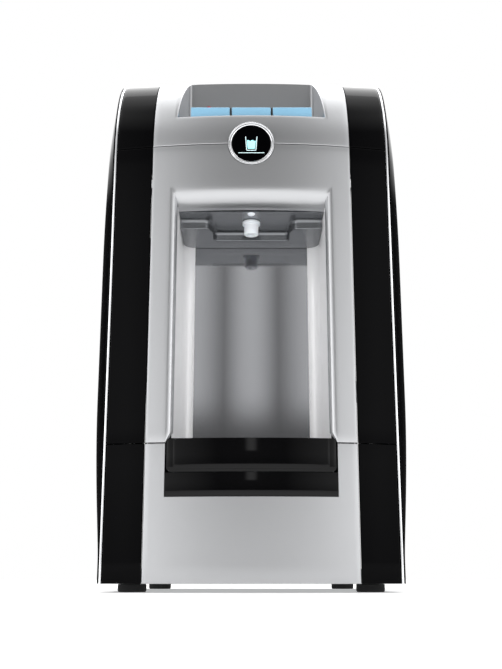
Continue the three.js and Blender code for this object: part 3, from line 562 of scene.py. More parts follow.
# %% Lower silver panel
def block(low, high, name="block"):
    mesh = bpy.data.meshes.new(name)
    low, high = Vector(low), Vector(high)
    with editing(mesh) as bm:
        bmesh.ops.create_cube(bm, size=1.0)
        bm.transform(Matrix.Translation((low + high) / 2) @ Matrix.Diagonal((*(high - low), 1.0)))
    return new_object(name, mesh)


FIT = 0.6 * MM
low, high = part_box("lower_front_panel")
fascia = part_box("tray_fascia")
panel = casing_strip("lower_front_panel_skin", low.x, high.x, straight("lower_front_panel"), 8,
                     across=40)
window = block((fascia[0].x - FIT, FRONT - 0.01, fascia[0].z - FIT),
               (fascia[1].x + FIT, FRONT + 0.03, high.z + 0.01))
settle(carve(panel, window), silver_lacquer, "lower_front_panel")
print("lower panel", len(panel.data.polygons), "faces")

# %% [markdown]
# The middle panel carries the mouth of the niche. The two jambs roll in tightly and the brow
# rolls in widely, and they meet in a mitre. At any height the mitre lies where both rolls
# are equally deep, so one function gives the half-width that is left between the jambs.

# %% The rolls round the niche's mouth
MID_LOW, MID_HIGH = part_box("mid_front_panel")
RIM = 0.8 * MM
liner_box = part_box("niche_liner")
hood_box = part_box("niche_hood")
tray_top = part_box("drip_tray")[1].z
WALL = 2.5 * MM
NICHE_HALF = liner_box[1].x - WALL
CEILING = hood_box[1].z - WALL
JAMB = 7.8 * MM
BROW = 20 * MM
MOUTH = NICHE_HALF + JAMB
CROWN = CEILING + BROW
JAMB_FOOT = 1.2 * MM


def roll_depth(reach, size):
    """Depth of a quarter-round at a distance inside its outer edge."""
    return size - sqrt(max(0.0, size ** 2 - reach ** 2))


def roll_reach(depth, size):
    return sqrt(max(0.0, size ** 2 - (size - min(depth, size)) ** 2))


def jamb_size(z):
    grown = rise(max(0.0, z - tray_top - 1 * MM), 6 * MM)
    return JAMB_FOOT + (JAMB - JAMB_FOOT) * grown


def mitre_half(z):
    brow = BROW if z <= CEILING else roll_depth(CROWN - z, BROW)
    return MOUTH - roll_reach(brow, jamb_size(z))


print("mouth", round(2 * MOUTH, 4), "wide, crown at", round(CROWN, 4))

# %% [markdown]
# A single grid can't turn both corners cleanly, so the panel is drawn as six patches that
# share their border points: three flat ones, two jambs and the brow. These functions give
# one point or one row of a patch.

# %% Points of the flat, the jambs and the brow
def face_point(x, z):
    edge = max(tuck(MID_HIGH.x - abs(x), RIM), tuck(z - MID_LOW.z, RIM), tuck(MID_HIGH.z - z, RIM))
    return on_casing(x, face_depth(z) + edge, z)


def jamb_row(sign, z):
    size = jamb_size(z)
    limit = asin(min(1.0, (MOUTH - mitre_half(z)) / size))
    row = []
    for k in range(13):
        reach = size * sin(limit * k / 12)
        inward = roll_depth(reach, size) + tuck(z - MID_LOW.z, RIM)
        row.append(on_casing(sign * (MOUTH - reach), 0.0, z) + Vector((0, inward, 0)))
    return row if sign < 0 else row[::-1]


def brow_row(z, span):
    half = mitre_half(z)
    inward = Vector((0, roll_depth(CROWN - z, BROW), 0))
    return [on_casing(x * half / MOUTH, 0.0, z) + inward for x in span]


print("mitre at the ceiling", round(mitre_half(CEILING), 4))

# %% [markdown]
# The heights are shared by every patch that meets there. Joining the patches and merging
# their doubled points gives one skin, which Solidify then thickens.

# %% Middle panel
def mid_panel():
    side = spread(-MID_HIGH.x, -MOUTH, RIM, 8)[:-5]
    side[-1] = -MOUTH
    span = [-MOUTH + 2 * MOUTH * i / 40 for i in range(1, 40)]
    across = side + span + [-x for x in side[::-1]]
    sides = [MID_LOW.z, MID_LOW.z + 0.3 * MM, MID_LOW.z + RIM]
    sides += [MID_LOW.z + (CEILING - MID_LOW.z) * i / 24 for i in range(1, 25)]
    sides += [CROWN - BROW * cos(turn) for turn in quarter(16)[1:]]
    above = [CROWN + (MID_HIGH.z - RIM - CROWN) * i / 8 for i in range(1, 9)]
    above += [MID_HIGH.z - 0.3 * MM, MID_HIGH.z]
    patches = [[[face_point(x, z) for x in side] for z in sides],
               [[face_point(-x, z) for x in side[::-1]] for z in sides],
               [[face_point(x, z) for x in across] for z in sides[-1:] + above],
               [jamb_row(-1, z) for z in sides],
               [jamb_row(1, z) for z in sides],
               [brow_row(z, [-MOUTH] + span + [MOUTH]) for z in sides[-17:]]]
    points, faces = [], []
    for rows in patches:
        start = len(points)
        faces += [tuple(start + k for k in face) for face in grid_faces(len(rows), len(rows[0]))]
        points += [point for row in rows for point in row]
    return thicken(from_faces("mid_front_panel_skin", points, faces), 2.2 * MM)


print("made: mid_panel")

# %% [markdown]
# The badge sits across the joint of the middle panel and the top cover, so the same round
# cutter opens both of them.

# %% Badge opening
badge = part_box("badge_ring")
badge_centre = middle_of(badge)
BADGE_R = (badge[1].x - badge[0].x) / 2


def drum(centre, radius, length, axis="Z", sides=64):
    mesh = bpy.data.meshes.new("drum")
    with editing(mesh) as bm:
        bmesh.ops.create_cone(bm, cap_ends=True, segments=sides, radius1=radius, radius2=radius,
                              depth=length)
        if axis == "Y":
            bm.transform(Matrix.Rotation(pi / 2, 4, "X"))
        bm.transform(Matrix.Translation(centre))
    return new_object("drum", mesh)


def badge_hole():
    return drum((0, FRONT, badge_centre.z), BADGE_R + 0.4 * MM, 0.03, axis="Y", sides=96)


middle = carve(mid_panel(), badge_hole())
settle(middle, silver_lacquer, "mid_front_panel", crease=28)
print("middle panel", len(middle.data.polygons), "faces")

# %% [markdown]
# The top cover starts as a strip that runs over the top and down the back. A prism with
# splayed sides cuts the key pocket.

# %% Top cover and key pocket
SILL = HEIGHT - 87.3 * MM
keys = [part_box(f"{k}_key") for k in ("hot", "room", "cold")]
POCKET_HALF = keys[2][1].x + 16.05 * MM
POCKET_BACK = 62 * MM


def pocket_plan(grow):
    """The pocket seen from above: splayed sides and two round corners at the back."""
    half = POCKET_HALF + grow
    back, corner = POCKET_BACK + grow, 5 * MM + grow
    right = [(half + 4 * MM, -14 * MM), (half, 8 * MM)]
    right += [(half - 10 * MM - corner * (1 - cos(t)), back - corner * (1 - sin(t)))
              for t in quarter(6)]
    return right + [(-x, d) for x, d in reversed(right)]


def slab_faces(count):
    """Two caps, and the sides between an outline and its copy."""
    faces = [tuple(range(count)), tuple(range(2 * count - 1, count - 1, -1))]
    return faces + [(i, i + count, (i + 1) % count + count, (i + 1) % count) for i in range(count)]


def prism(name, plan, z0, z1):
    points = [(x, FRONT + d, z) for z in (z0, z1) for x, d in plan]
    return outward(from_faces(name, points, slab_faces(len(plan))))


low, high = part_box("top_cover")
run = side_profile(low.z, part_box("back_panel")[1].z + 1 * MM, 40)
cover = casing_strip("top_cover_skin", low.x, high.x, run, 90, across=40)
cover = carve(cover, prism("pocket", pocket_plan(0), SILL, HEIGHT + 0.02), badge_hole())
settle(soften(cover, 0.5 * MM, 2), silver_lacquer, "top_cover")
print("top cover", len(cover.data.polygons), "faces")

# %% [markdown]
# The pocket needs walls of its own. Its lining follows the same plan, a shade larger, and
# each column of points stops where it would come out through the rolled surface above it.

# %% Pocket lining


def pocket_lining():
    plan = pocket_plan(0.02 * MM)[1:-1]
    dense = []
    for (x0, d0), (x1, d1) in zip(plan, plan[1:]):
        steps = max(1, round(hypot(x1 - x0, d1 - d0) / (3 * MM)))
        dense += [(x0 + (x1 - x0) * k / steps, d0 + (d1 - d0) * k / steps) for k in range(steps)]
    dense.append(plan[-1])
    points = []
    bottom = SILL - 4 * MM
    for level in range(9):
        for x, d in dense:
            flat = (d - bow_at(x)) / (1 - bow_at(x) / TOP_ROLL)
            flat = min(max(flat, 0.0), TOP_ROLL)
            top = ROLL_START + TOP_ROLL * sqrt(1 - (1 - flat / TOP_ROLL) ** 2) - 0.4 * MM
            z = bottom + (max(top, bottom + 1 * MM) - bottom) * level / 8
            skin = face_depth(z) + bow_at(x) * (1 - face_depth(z) / TOP_ROLL)
            clear = 2.6 * MM if z < SILL else 0.3 * MM
            points.append(Vector((x, FRONT + max(d, skin + clear), z)))
    lining = from_faces("key_pocket_lining", points, grid_faces(9, len(dense)))
    return thicken(turned_over(lining), -1.6 * MM)


settle(pocket_lining(), silver_lacquer)
print("pocket lined")

# %% [markdown]
# The niche liner is a lacquered trough: flat back, round corners, straight cheeks. Drawn as
# one plan line raised in z it stays perfectly smooth, which its mirror-like corners need.

# %% Niche liner
NICHE_CORNER = 13 * MM


def plan_line(half, front, back, corner, steps=14):
    right = [(half, front + (back - corner - front) * i / 8) for i in range(8)]
    right += [(half - corner * (1 - cos(turn)), back - corner * (1 - sin(turn)))
              for turn in quarter(steps)]
    middle = [(x, back) for x in (0.03, 0.0)]
    return right + middle + [(-x, d) for x, d in reversed(right + middle[:1])]


front_d = liner_box[0].y - FRONT
back_d = liner_box[1].y - FRONT - WALL
floor_z = liner_box[0].z + WALL
line = plan_line(NICHE_HALF, front_d, back_d, NICHE_CORNER)
levels = [floor_z + (CEILING + 1 * MM - liner_box[0].z - WALL) * i / 30 for i in range(31)]
points = [Vector((x, FRONT + d, z)) for z in levels for x, d in line]
liner = turned_over(from_faces("niche_liner_wall", points, grid_faces(len(levels), len(line))))
# The liner's near-white colour on its cheeks and round corners is painted light.
liner = settle(thicken(liner, 1.8 * MM), cheek_lacquer, "niche_liner")
# The flat back plate takes the darker lacquer instead: painted shade.
liner.data.materials.append(niche_lacquer)
for polygon in liner.data.polygons:
    centre = polygon.center
    if abs(centre.x) < NICHE_HALF - NICHE_CORNER and centre.y > FRONT + 0.09:
        polygon.material_index = 1
# The floor takes the darker lacquer too, as painted shade.
shelf = block((-NICHE_HALF, FRONT + front_d, liner_box[0].z),
              (NICHE_HALF, FRONT + back_d, floor_z), "niche_floor")
settle(soften(shelf, 0.4 * MM, 2), niche_lacquer)
print("niche lined")

# %% [markdown]
# The hood hangs from the niche's ceiling with two prongs, and the nozzle stands in the notch
# between them. Its outline is three arcs on one side, mirrored for the other.

# %% Outline of the hood
def hood_plan():
    half, back = hood_box[1].x, hood_box[1].y - FRONT
    notch, notch_back, notch_corner = 41.5 * MM, 86.5 * MM, 6 * MM
    front, bend, run = 48.6 * MM, 8 * MM, 20 * MM
    right = [(notch - notch_corner * (1 - sin(turn)),
              notch_back - notch_corner * (1 - cos(turn))) for turn in quarter(8)]
    for step in quarter(12):
        turn = pi + step
        right.append((notch + bend + bend * cos(turn), front + run + run * sin(turn)))
    right.append((half, front))
    right += [(half - NICHE_CORNER * (1 - cos(turn)),
               back - NICHE_CORNER * (1 - sin(turn))) for turn in quarter(12)]
    return right + [(-x, d) for x, d in reversed(right)]


print("hood outline", len(hood_plan()), "points")

# %% [markdown]
# Raised in z, the outline gets a small round at its foot and flares into the ceiling along a
# hollow quarter-round. Each level moves every point along its own normal.

# %% Hood with its flare
def filleted_hood(name, plan, z0, z1, fillet):
    count = len(plan)
    normals = []
    for (xa, da), (xb, db) in zip(plan[-1:] + plan[:-1], plan[1:] + plan[:1]):
        size = hypot(xb - xa, db - da) or 1.0
        normals.append(((db - da) / size, -(xb - xa) / size))
    area = sum(plan[i - 1][0] * plan[i][1] - plan[i][0] * plan[i - 1][1] for i in range(count))
    flip = 1 if area > 0 else -1
    foot = 1 * MM
    levels = [(-foot * (1 - sin(t)), z0 + foot * (1 - cos(t))) for t in quarter(5)]
    levels += [(fillet * (1 - cos(t)), z1 - fillet * (1 - sin(t))) for t in quarter(8)]
    limit, deepest = hood_box[1].x, hood_box[1].y - FRONT
    points = []
    for move, z in levels:
        for (x, d), (nx, nd) in zip(plan, normals):
            px = max(-limit, min(limit, x + nx * flip * move))
            points.append(Vector((px, FRONT + min(d + nd * flip * move, deepest), z)))
    faces = grid_faces(len(levels), count, closed=True)
    faces += [tuple(range(count)), tuple(range((len(levels) - 1) * count, len(levels) * count))]
    return outward(from_faces(name, points, faces))


hood_top = CEILING + 0.3 * MM
hood_block = filleted_hood("niche_hood_block", hood_plan(), hood_box[0].z, hood_top, 4.5 * MM)
# The hood's darker lacquer is painted shade.
settle(hood_block, hood_lacquer, "niche_hood", crease=40)
print("hood", len(hood_block.data.polygons), "faces")

# %% [markdown]
# The ceiling is a plate with the liner's own outline. Drums cut its two openings, one for
# the nozzle's collar and one for the lamp.

# %% Ceiling plate
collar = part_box("nozzle_collar")
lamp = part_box("niche_lamp")
collar_c, lamp_c = middle_of(collar), middle_of(lamp)
plate_plan = plan_line(hood_box[1].x, hood_box[0].y - FRONT, hood_box[1].y - FRONT, NICHE_CORNER)
ceiling = prism("niche_ceiling", plate_plan, CEILING, hood_box[1].z)
carve(ceiling, drum((0, collar_c.y, CEILING), 8.8 * MM, 0.03),
      drum((0, lamp_c.y, CEILING), 4.3 * MM, 0.03))
# The plate takes the hood's darker lacquer: painted shade.
settle(ceiling, hood_lacquer)
print("ceiling cut for nozzle and lamp")

# %% [markdown]
# Turned pieces come from one half-outline spun about an axis. The spin is written out point
# by point, so the poles close and the faces point outwards.

# %% Turned pieces
def turned(name, profile, centre, axis="Z", sides=72):
    """profile holds (radius, height) points; a height runs along Z, or along Y from the front."""
    """profile holds (radius, height) points; heights run along Z, or along Y from the front."""
    points = []
    for radius, height in profile:
        for k in range(sides):
            turn = 2 * pi * k / sides
            a, b = radius * cos(turn), radius * sin(turn)
            offset = (a, b, height) if axis == "Z" else (a, height, b)
            points.append([c + o for c, o in zip(centre, offset)])
    obj = from_faces(name, points, grid_faces(len(profile), sides, closed=True))
    with editing(obj.data) as bm:
        bmesh.ops.holes_fill(bm, edges=[e for e in bm.edges if e.is_boundary])
        bmesh.ops.recalc_face_normals(bm, faces=bm.faces)
    return obj


def ring_profile(bore, radius, z0, z1, round_by):
    """A closed sleeve outline with small quarter-rounds at its four corners."""
    result = []
    corners = [(radius, z0, 1, -1), (radius, z1, 1, 1), (bore, z1, -1, 1), (bore, z0, -1, -1)]
    for index, (r, z, sr, sz) in enumerate(corners):
        for k in range(5):
            turn = -pi / 2 + pi / 2 * (index + k / 4)
            result.append((r - sr * round_by + round_by * cos(turn),
                           z - sz * round_by + round_by * sin(turn)))
    return result + [result[0]]


print("lathe ready")

# %% [markdown]
# The nozzle is a plain white tube in a collar. The lamp beside it is a shallow dome, just
# proud of the ceiling.

# %% Nozzle, collar and lamp
nozzle_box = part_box("nozzle")
nozzle_c = middle_of(nozzle_box)
nozzle_r = (nozzle_box[1].x - nozzle_box[0].x) / 2
tube = ring_profile(3.35 * MM, nozzle_r, nozzle_box[0].z, nozzle_box[1].z, 0.9 * MM)
settle(turned("nozzle_tube", tube, (nozzle_c.x, nozzle_c.y, 0)), white_pp, "nozzle")
collar_r = (collar[1].x - collar[0].x) / 2
sleeve = ring_profile(nozzle_r + 0.3 * MM, collar_r, collar[0].z, CEILING - 0.3 * MM, 0.7 * MM)
settle(turned("nozzle_collar_ring", sleeve, (collar_c.x, collar_c.y, 0)), white_pp,
       "nozzle_collar")
lamp_r = (lamp[1].x - lamp[0].x) / 2
lamp_z = CEILING - 0.4 * MM
lens = [(lamp_r, CEILING + 6 * MM), (lamp_r, lamp_z)]
lens += [(lamp_r * cos(t), lamp_z - 1.8 * MM * sin(t)) for t in (0.3, 0.6, 0.9, 1.2, 1.45)]
settle(turned("niche_lamp_lens", lens, (lamp_c.x, lamp_c.y, 0)), white_pp, "niche_lamp")
print("nozzle, collar and lamp made")

# %% [markdown]
# The badge is a gloss disc in a chromed ring. The ring's section is a wide bead inside, a
# fine groove, and a narrower, taller bead outside.

# %% Badge ring and disc
bore = BADGE_R - 3.7 * MM
ring = [(bore, 3.6 * MM), (bore, 0.6 * MM)]
ring += [(BADGE_R - 2.1 * MM - 1.6 * MM * cos(t), 0.6 * MM - 1.2 * MM * sin(t))
         for t in (0.4, 0.8, 1.2, 1.57)]
ring += [(BADGE_R - 1.6 * MM, -0.2 * MM), (BADGE_R - 1.4 * MM, -0.2 * MM)]
ring += [(BADGE_R - 0.7 * MM - 0.7 * MM * cos(t), -0.4 * MM - 0.8 * MM * sin(t))
         for t in (0.4, 0.9, 1.4, 1.9, 2.4)]
ring += [(BADGE_R, 0.2 * MM), (BADGE_R, 3.9 * MM), (bore, 3.9 * MM), (bore, 3.6 * MM)]
disc_r = BADGE_R - 4.0 * MM
POLE = 0.0005 * MM
disc = [(POLE, 0.0)] + [(disc_r * k / 6, 0.0) for k in range(1, 6)]
disc += [(disc_r - 0.4 * MM, 0.0), (disc_r, 0.4 * MM), (disc_r, 3.5 * MM), (POLE, 3.5 * MM)]
for name, outline, finish, node in (("badge_bezel", ring, chrome_plate, "badge_ring"),
                                    ("badge_face", disc, piano_black, "badge_disc")):
    piece = turned(name, outline, (0, FRONT, badge_centre.z), axis="Y", sides=128)
    settle(piece, finish, node, crease=50 if outline is ring else 32)
print("badge made")

# %% [markdown]
# The badge shows a plain tumbler of water on a line: a generic sign for a drinks machine.
# Each stroke is a thin inlay a few hundredths of a millimetre proud of the disc.

# %% Tumbler sign
def inlay(name, outline, material):
    """The outline is in millimetres from the middle of the badge."""
    points = [(x * MM, FRONT + d * MM, badge_centre.z + z * MM)
              for d in (-0.08, 0.3) for x, z in outline]
    stroke = outward(from_faces(name, points, slab_faces(len(outline))))
    settle(stroke, material)


wave = [(-4.5 + 9 * i / 12, 3.0 + 0.6 * sin(i * pi / 3)) for i in range(13)]
inlay("sign_water", wave + [(3.7, -5.6), (3.3, -6.2), (-3.3, -6.2), (-3.7, -5.6)], icon_cyan)
for name, outline in (
        ("glass_left", [(-6.3, 7.5), (-5.5, 7.5), (-4.4, -7.0), (-5.2, -7.4)]),
        ("glass_right", [(6.3, 7.5), (5.5, 7.5), (4.4, -7.0), (5.2, -7.4)]),
        ("glass_foot", [(-5.2, -7.5), (5.2, -7.5), (4.6, -8.3), (-4.6, -8.3)]),
        ("table", [(-13.5, -10.4), (13.5, -10.4), (13.5, -11.1), (-13.5, -11.1)])):
    inlay(f"sign_{name}", outline, icon_line)
print("sign inlaid")

# %% [markdown]
# The tray front is a bowed gloss slab. A raised middle field with upright edges gives it the
# two bright lines that run down near its ends, and round lower corners sit in the panel.

# %% Tray front and fascia
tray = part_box("drip_tray")
tray_half = tray[1].x


def bowed_slab(name, half, z0, z1, front, back, corner, bevel):
    """A slab across the front with rounded lower corners, bent to the casing's bow."""
    clip = corner * 0.35
    columns = 44

    def section(x):
        inset = max(0.0, abs(x) - (half - corner))
        low = z0 + corner - sqrt(max(0.0, corner ** 2 - inset ** 2))
        high = z1 - max(0.0, abs(x) - (half - clip))
        return [on_casing(x, d, z) for d, z in
                ((front, low), (front, high), (back, high), (back, low))]

    edge = [half - corner * (1 - sin(turn)) for turn in quarter(6)]
    inner = [-half + corner + 2 * (half - corner) * i / columns for i in range(1, columns)]
    xs = [-x for x in reversed(edge)] + inner + edge
    points = [point for x in xs for point in section(x)]
    last = (len(xs) - 1) * 4
    faces = grid_faces(len(xs), 4, closed=True)
    faces += [(0, 1, 2, 3), (last + 3, last + 2, last + 1, last)]
    return soften(outward(from_faces(name, points, faces)), bevel, 4)


front = bowed_slab("tray_front", tray_half, tray[0].z, tray[1].z, 1.3 * MM, 3.6 * MM, 5 * MM,
                   0.8 * MM)
settle(front, tray_gloss, "drip_tray", body="tray")
field = bowed_slab("tray_front_field", tray_half - 6.6 * MM, tray[0].z + 2.6 * MM,
                   tray[1].z - 0.5 * MM, 0.02 * MM, 1.8 * MM, 3 * MM, 1.1 * MM)
settle(field, tray_gloss, body="tray")
strip = bowed_slab("fascia_strip", fascia[1].x, fascia[0].z, fascia[1].z, 0.0, 3.0 * MM,
                   0.6 * MM, 0.4 * MM)
settle(strip, tray_gloss, "tray_fascia")
print("tray front and fascia made")

# %% [markdown]
# Behind its front the tray is an open basin that catches the drips. Its wall follows the
# grille's outline a little outside, so the grille drops in from above.

# %% Tray basin
grille_low, grille_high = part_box("drip_grille")
GAP = 2.6 * MM
BASIN_FLOOR = 116.8 * MM
tub_half = grille_high.x + GAP
tub_front = grille_low.y - FRONT - GAP
tub_line = plan_line(tub_half, tub_front, grille_high.y - FRONT + GAP, 12 * MM)
tub_line += [(-tub_half + 2 * tub_half * i / 12, tub_front) for i in range(1, 12)]
tub_rim = grille_high.z + 0.2 * MM
tub_levels = [BASIN_FLOOR + (tub_rim - BASIN_FLOOR) * i / 6 for i in range(7)]
points = [Vector((x, FRONT + d, z)) for z in tub_levels for x, d in tub_line]
count = len(tub_line)
faces = grid_faces(len(tub_levels), count, closed=True) + [tuple(range(count))[::-1]]
tub = outward(from_faces("tray_basin", points, faces))
settle(thicken(tub, 1.6 * MM), tray_gloss, body="tray")
print("basin", len(tub.data.polygons), "faces")

# %% [markdown]
# Geometry Nodes suit what repeats. A tree gets named inputs for its sizes, and its result is
# made real, given its finish and turned into a plain mesh. The same four steps serve every
# tree below.

# %% Steps that every Geometry Nodes tree shares
def node_tree(name, **sizes):
    """A tree with one named input for each size: a whole number, a length or a vector."""
    kinds = {int: "NodeSocketInt", float: "NodeSocketFloat", tuple: "NodeSocketVector"}
    tree = bpy.data.node_groups.new(name, "GeometryNodeTree")
    for way in ("INPUT", "OUTPUT"):
        tree.interface.new_socket("Geometry", in_out=way, socket_type="NodeSocketGeometry")
    for label, value in sizes.items():
        item = tree.interface.new_socket(label.replace("_", " "), in_out="INPUT",
                                         socket_type=kinds[type(value)])
        item.default_value = value
    return tree, add_node(tree, "NodeGroupInput").outputs


def joined(tree, *parts):
    both = add_node(tree, "GeometryNodeJoinGeometry")
    for part in parts:
        tree.links.new(part.outputs[0], both.inputs[0])
    return both


def finish_tree(tree, geometry, material):
    finish = add_node(tree, "GeometryNodeSetMaterial", Geometry=geometry, Material=material)
    add_node(tree, "NodeGroupOutput", i0=finish)


def run_nodes(obj, tree, sizes):
    modifier = obj.modifiers.new(tree.name, "NODES")
    modifier.node_group = tree
    for item in tree.interface.items_tree:
        key = item.name.replace(" ", "_")
        if item.in_out == "INPUT" and key in sizes:
            modifier[item.identifier] = sizes[key]
    return plain(obj)


print("made: node_tree, joined, finish_tree, run_nodes")

# %% [markdown]
# The grille is a plate with two columns of slots. One slot cutter is laid out on both, and
# all of the copies are subtracted from the plate at once.

# %% Slotted grille with Geometry Nodes
slot_half = (grille_high.x - 12 * MM) / 2
slots = {"Rows": 9, "Pitch": (grille_high.y - grille_low.y - 24 * MM) / 8,
         "Slot_Length": slot_half * 2 - 4 * MM, "Slot_Width": 5.2 * MM,
         "Side_Step": slot_half + 3 * MM}


def slotted_plate():
    tree, given = node_tree("slot_rows", **slots)
    size = add_node(tree, "ShaderNodeCombineXYZ", X=given["Slot Length"], Y=given["Slot Width"],
                    Z=0.02)
    cutter = add_node(tree, "GeometryNodeMeshCube", Size=size)
    step = add_node(tree, "ShaderNodeCombineXYZ", Y=given["Pitch"])
    rows = add_node(tree, "GeometryNodeMeshLine", {"mode": "OFFSET"}, Count=given["Rows"],
                    Offset=step)
    columns = []
    for sign in (-1.0, 1.0):
        shift = add_node(tree, "ShaderNodeMath", {"operation": "MULTIPLY"}, i0=given["Side Step"],
                         i1=sign)
        aside = add_node(tree, "ShaderNodeCombineXYZ", X=shift)
        columns.append(add_node(tree, "GeometryNodeTransform", Geometry=rows, Translation=aside))
    placed = add_node(tree, "GeometryNodeInstanceOnPoints", Points=joined(tree, *columns),
                      Instance=cutter)
    real = add_node(tree, "GeometryNodeRealizeInstances", Geometry=placed)
    moved = add_node(tree, "GeometryNodeTransform", Geometry=real,
                     Translation=(0, grille_low.y + 12.2 * MM, grille_low.z))
    less = add_node(tree, "GeometryNodeMeshBoolean",
                    {"operation": "DIFFERENCE", "solver": "EXACT"}, i0=given["Geometry"], i1=moved)
    finish_tree(tree, less, brushed_stainless)
    return tree


outline = plan_line(grille_high.x, grille_low.y - FRONT, grille_high.y - FRONT, 11 * MM)
plate = prism("drip_grille_plate", outline, grille_low.z, grille_high.z)
plate = run_nodes(plate, slotted_plate(), slots)
settle(soften(plate, 0.4 * MM, 2), brushed_stainless, "drip_grille", body="grille")
print("grille", len(plate.data.polygons), "faces")

# %% [markdown]
# Keys are moulded blocks with generous radii. The hot key has a groove for its red lock, so
# a child can't draw hot water without sliding the lock first.

# %% Keys
for name, (key_low, key_high) in zip(("hot", "room", "cold"), keys):
    cap = block((key_low.x, key_low.y + 3 * MM, key_low.z),
                (key_high.x, key_high.y - 3 * MM, key_high.z), f"{name}_key_cap")
    soften(cap, 1.2 * MM, 4)
    if name == "hot":
        slide_low, slide_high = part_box("hot_lock_slider")
        carve(cap, block((slide_low.x - 0.5 * MM, slide_low.y - 0.3 * MM, key_high.z - 1.5 * MM),
                         (slide_high.x + 4.5 * MM, slide_high.y + 0.3 * MM, key_high.z + 0.01)))
    settle(cap, key_blue, f"{name}_key", body=f"{name}_button")
key_front, key_rear, key_top = keys[0][0].y, keys[0][1].y, keys[0][1].z
for index in (0, 1):
    rib = block((keys[index][1].x + 0.35 * MM, key_front + 3.6 * MM, SILL - 3 * MM),
                (keys[index + 1][0].x - 0.35 * MM, key_rear - 3.6 * MM, key_top - 0.9 * MM),
                f"key_rib_{index + 1}")
    settle(rib, dark_abs)
print("keys and ribs made")

# %% [markdown]
# The lock is a red plate that slides in the groove, with a small turned knob to push it by.

# %% Hot-water lock
slide = block((slide_low.x, slide_low.y, key_top - 1.2 * MM),
              (slide_high.x, slide_high.y, key_top + 0.4 * MM), "hot_lock_plate")
settle(soften(slide, 0.25 * MM, 2), key_red, "hot_lock_slider", body="lock")
knob = [(0.01, -1), (2.7, -1), (2.7, 1.3), (2.5, 1.8), (2.0, 2.1), (0.01, 2.1)]
knob = turned("hot_lock_knob", [(r * MM, h * MM) for r, h in knob],
              (slide_low.x + 3 * MM, (slide_low.y + slide_high.y) / 2, key_top), sides=40)
settle(knob, key_red, body="lock")
print("lock made")

# %% [markdown]
# Under each key sits a coil spring on the deck. It is a wire swept along a helix with closed
# flat ends.

# %% Key springs
def coil_spring(name, low, high):
    centre = middle_of((low, high))
    wire = 0.55 * MM
    radius = (high.x - low.x) / 2 - wire
    turns, per_turn, around = 5, 28, 8
    total = turns * per_turn
    points = []
    for i in range(total + 1):
        share = i / total
        turn = 2 * pi * turns * share
        climb = max(0.0, min(1.0, (share - 0.1) / 0.8))
        z = low.z + wire + (high.z - low.z - 2 * wire) * climb
        for k in range(around):
            roll = 2 * pi * k / around
            r = radius + wire * cos(roll)
            points.append(Vector((centre.x + r * cos(turn), centre.y + r * sin(turn),
                                  z + wire * sin(roll))))
    faces = grid_faces(total + 1, around, closed=True)
    faces += [tuple(range(around)), tuple(range(total * around, (total + 1) * around))]
    return outward(from_faces(name, points, faces))


for key in ("hot", "room", "cold"):
    seat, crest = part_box(f"{key}_key_spring")
    spring = settle(coil_spring(f"{key}_coil", seat, crest), bright_stainless,
                    f"{key}_key_spring")
    centre = middle_of((seat, crest))
    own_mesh(spring)
print("springs wound")

# %% [markdown]
# The condenser is a bundle made of two things that repeat: one long pipe that folds back and
# forth, and rows of thin wires welded across it. The pipe's path comes first.

# %% Path of the condenser pipe
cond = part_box("condenser")
PIPE_R = 2.4 * MM
PASSES = 9
cond_y = cond[0].y + PIPE_R
half_fold = 19 * MM
reach = cond[1].x - half_fold - PIPE_R
first_pass = cond[0].z + 6 * MM


def fold_path():
    points = []
    for index in range(PASSES):
        side = 1 if index % 2 == 0 else -1
        z = first_pass + index * 2 * half_fold
        points += [(-side * reach, z), (0.0, z), (side * reach, z)]
        if index < PASSES - 1:
            points += [(side * (reach + half_fold * cos(t)),
                        z + half_fold + half_fold * sin(t))
                       for t in [-pi / 2 + pi * k / 8 for k in range(1, 8)]]
    return points


path = fold_path()
mesh = bpy.data.meshes.new("condenser_path")
mesh.from_pydata([(x, cond_y, z) for x, z in path], [(i, i + 1) for i in range(len(path) - 1)], [])
condenser = new_object("condenser_bundle", mesh)
print("pipe path", len(path), "points")

# %% [markdown]
# Geometry Nodes sweep a ring along that path for the pipe. They also repeat one wire along a
# row in front of the pipe and along another behind it.

# %% Condenser with Geometry Nodes
bundle = {"Pipe_Radius": PIPE_R - 0.1 * MM, "Wires": 31, "Wire_Radius": 0.7 * MM,
          "Wire_Step": (2 * reach - 8 * MM) / 30, "Wire_Length": cond[1].z - cond[0].z}


def wire_on_tube():
    tree, given = node_tree("wire_on_tube", **bundle)
    curve = add_node(tree, "GeometryNodeMeshToCurve", Mesh=given["Geometry"])
    section = add_node(tree, "GeometryNodeCurvePrimitiveCircle", Resolution=10,
                       Radius=given["Pipe Radius"])
    pipe = add_node(tree, "GeometryNodeCurveToMesh", Curve=curve, Profile_Curve=section,
                    Fill_Caps=True)
    step = add_node(tree, "ShaderNodeCombineXYZ", X=given["Wire Step"])
    row = add_node(tree, "GeometryNodeMeshLine", {"mode": "OFFSET"}, Count=given["Wires"],
                   Offset=step)
    wire = add_node(tree, "GeometryNodeMeshCylinder", Vertices=6, Radius=given["Wire Radius"],
                    Depth=given["Wire Length"])
    rows = []
    for offset in (-1, 1):
        start = (-reach + 4 * MM, cond_y + offset * (PIPE_R + 0.2 * MM),
                 (cond[0].z + cond[1].z) / 2)
        line = add_node(tree, "GeometryNodeTransform", Geometry=row, Translation=start)
        rows.append(add_node(tree, "GeometryNodeInstanceOnPoints", Points=line, Instance=wire))
    real = add_node(tree, "GeometryNodeRealizeInstances", Geometry=joined(tree, pipe, *rows))
    finish_tree(tree, real, condenser_paint)
    return tree


condenser = run_nodes(condenser, wire_on_tube(), bundle)
settle(outward(condenser), condenser_paint, "condenser")
print("condenser", len(condenser.data.polygons), "faces")

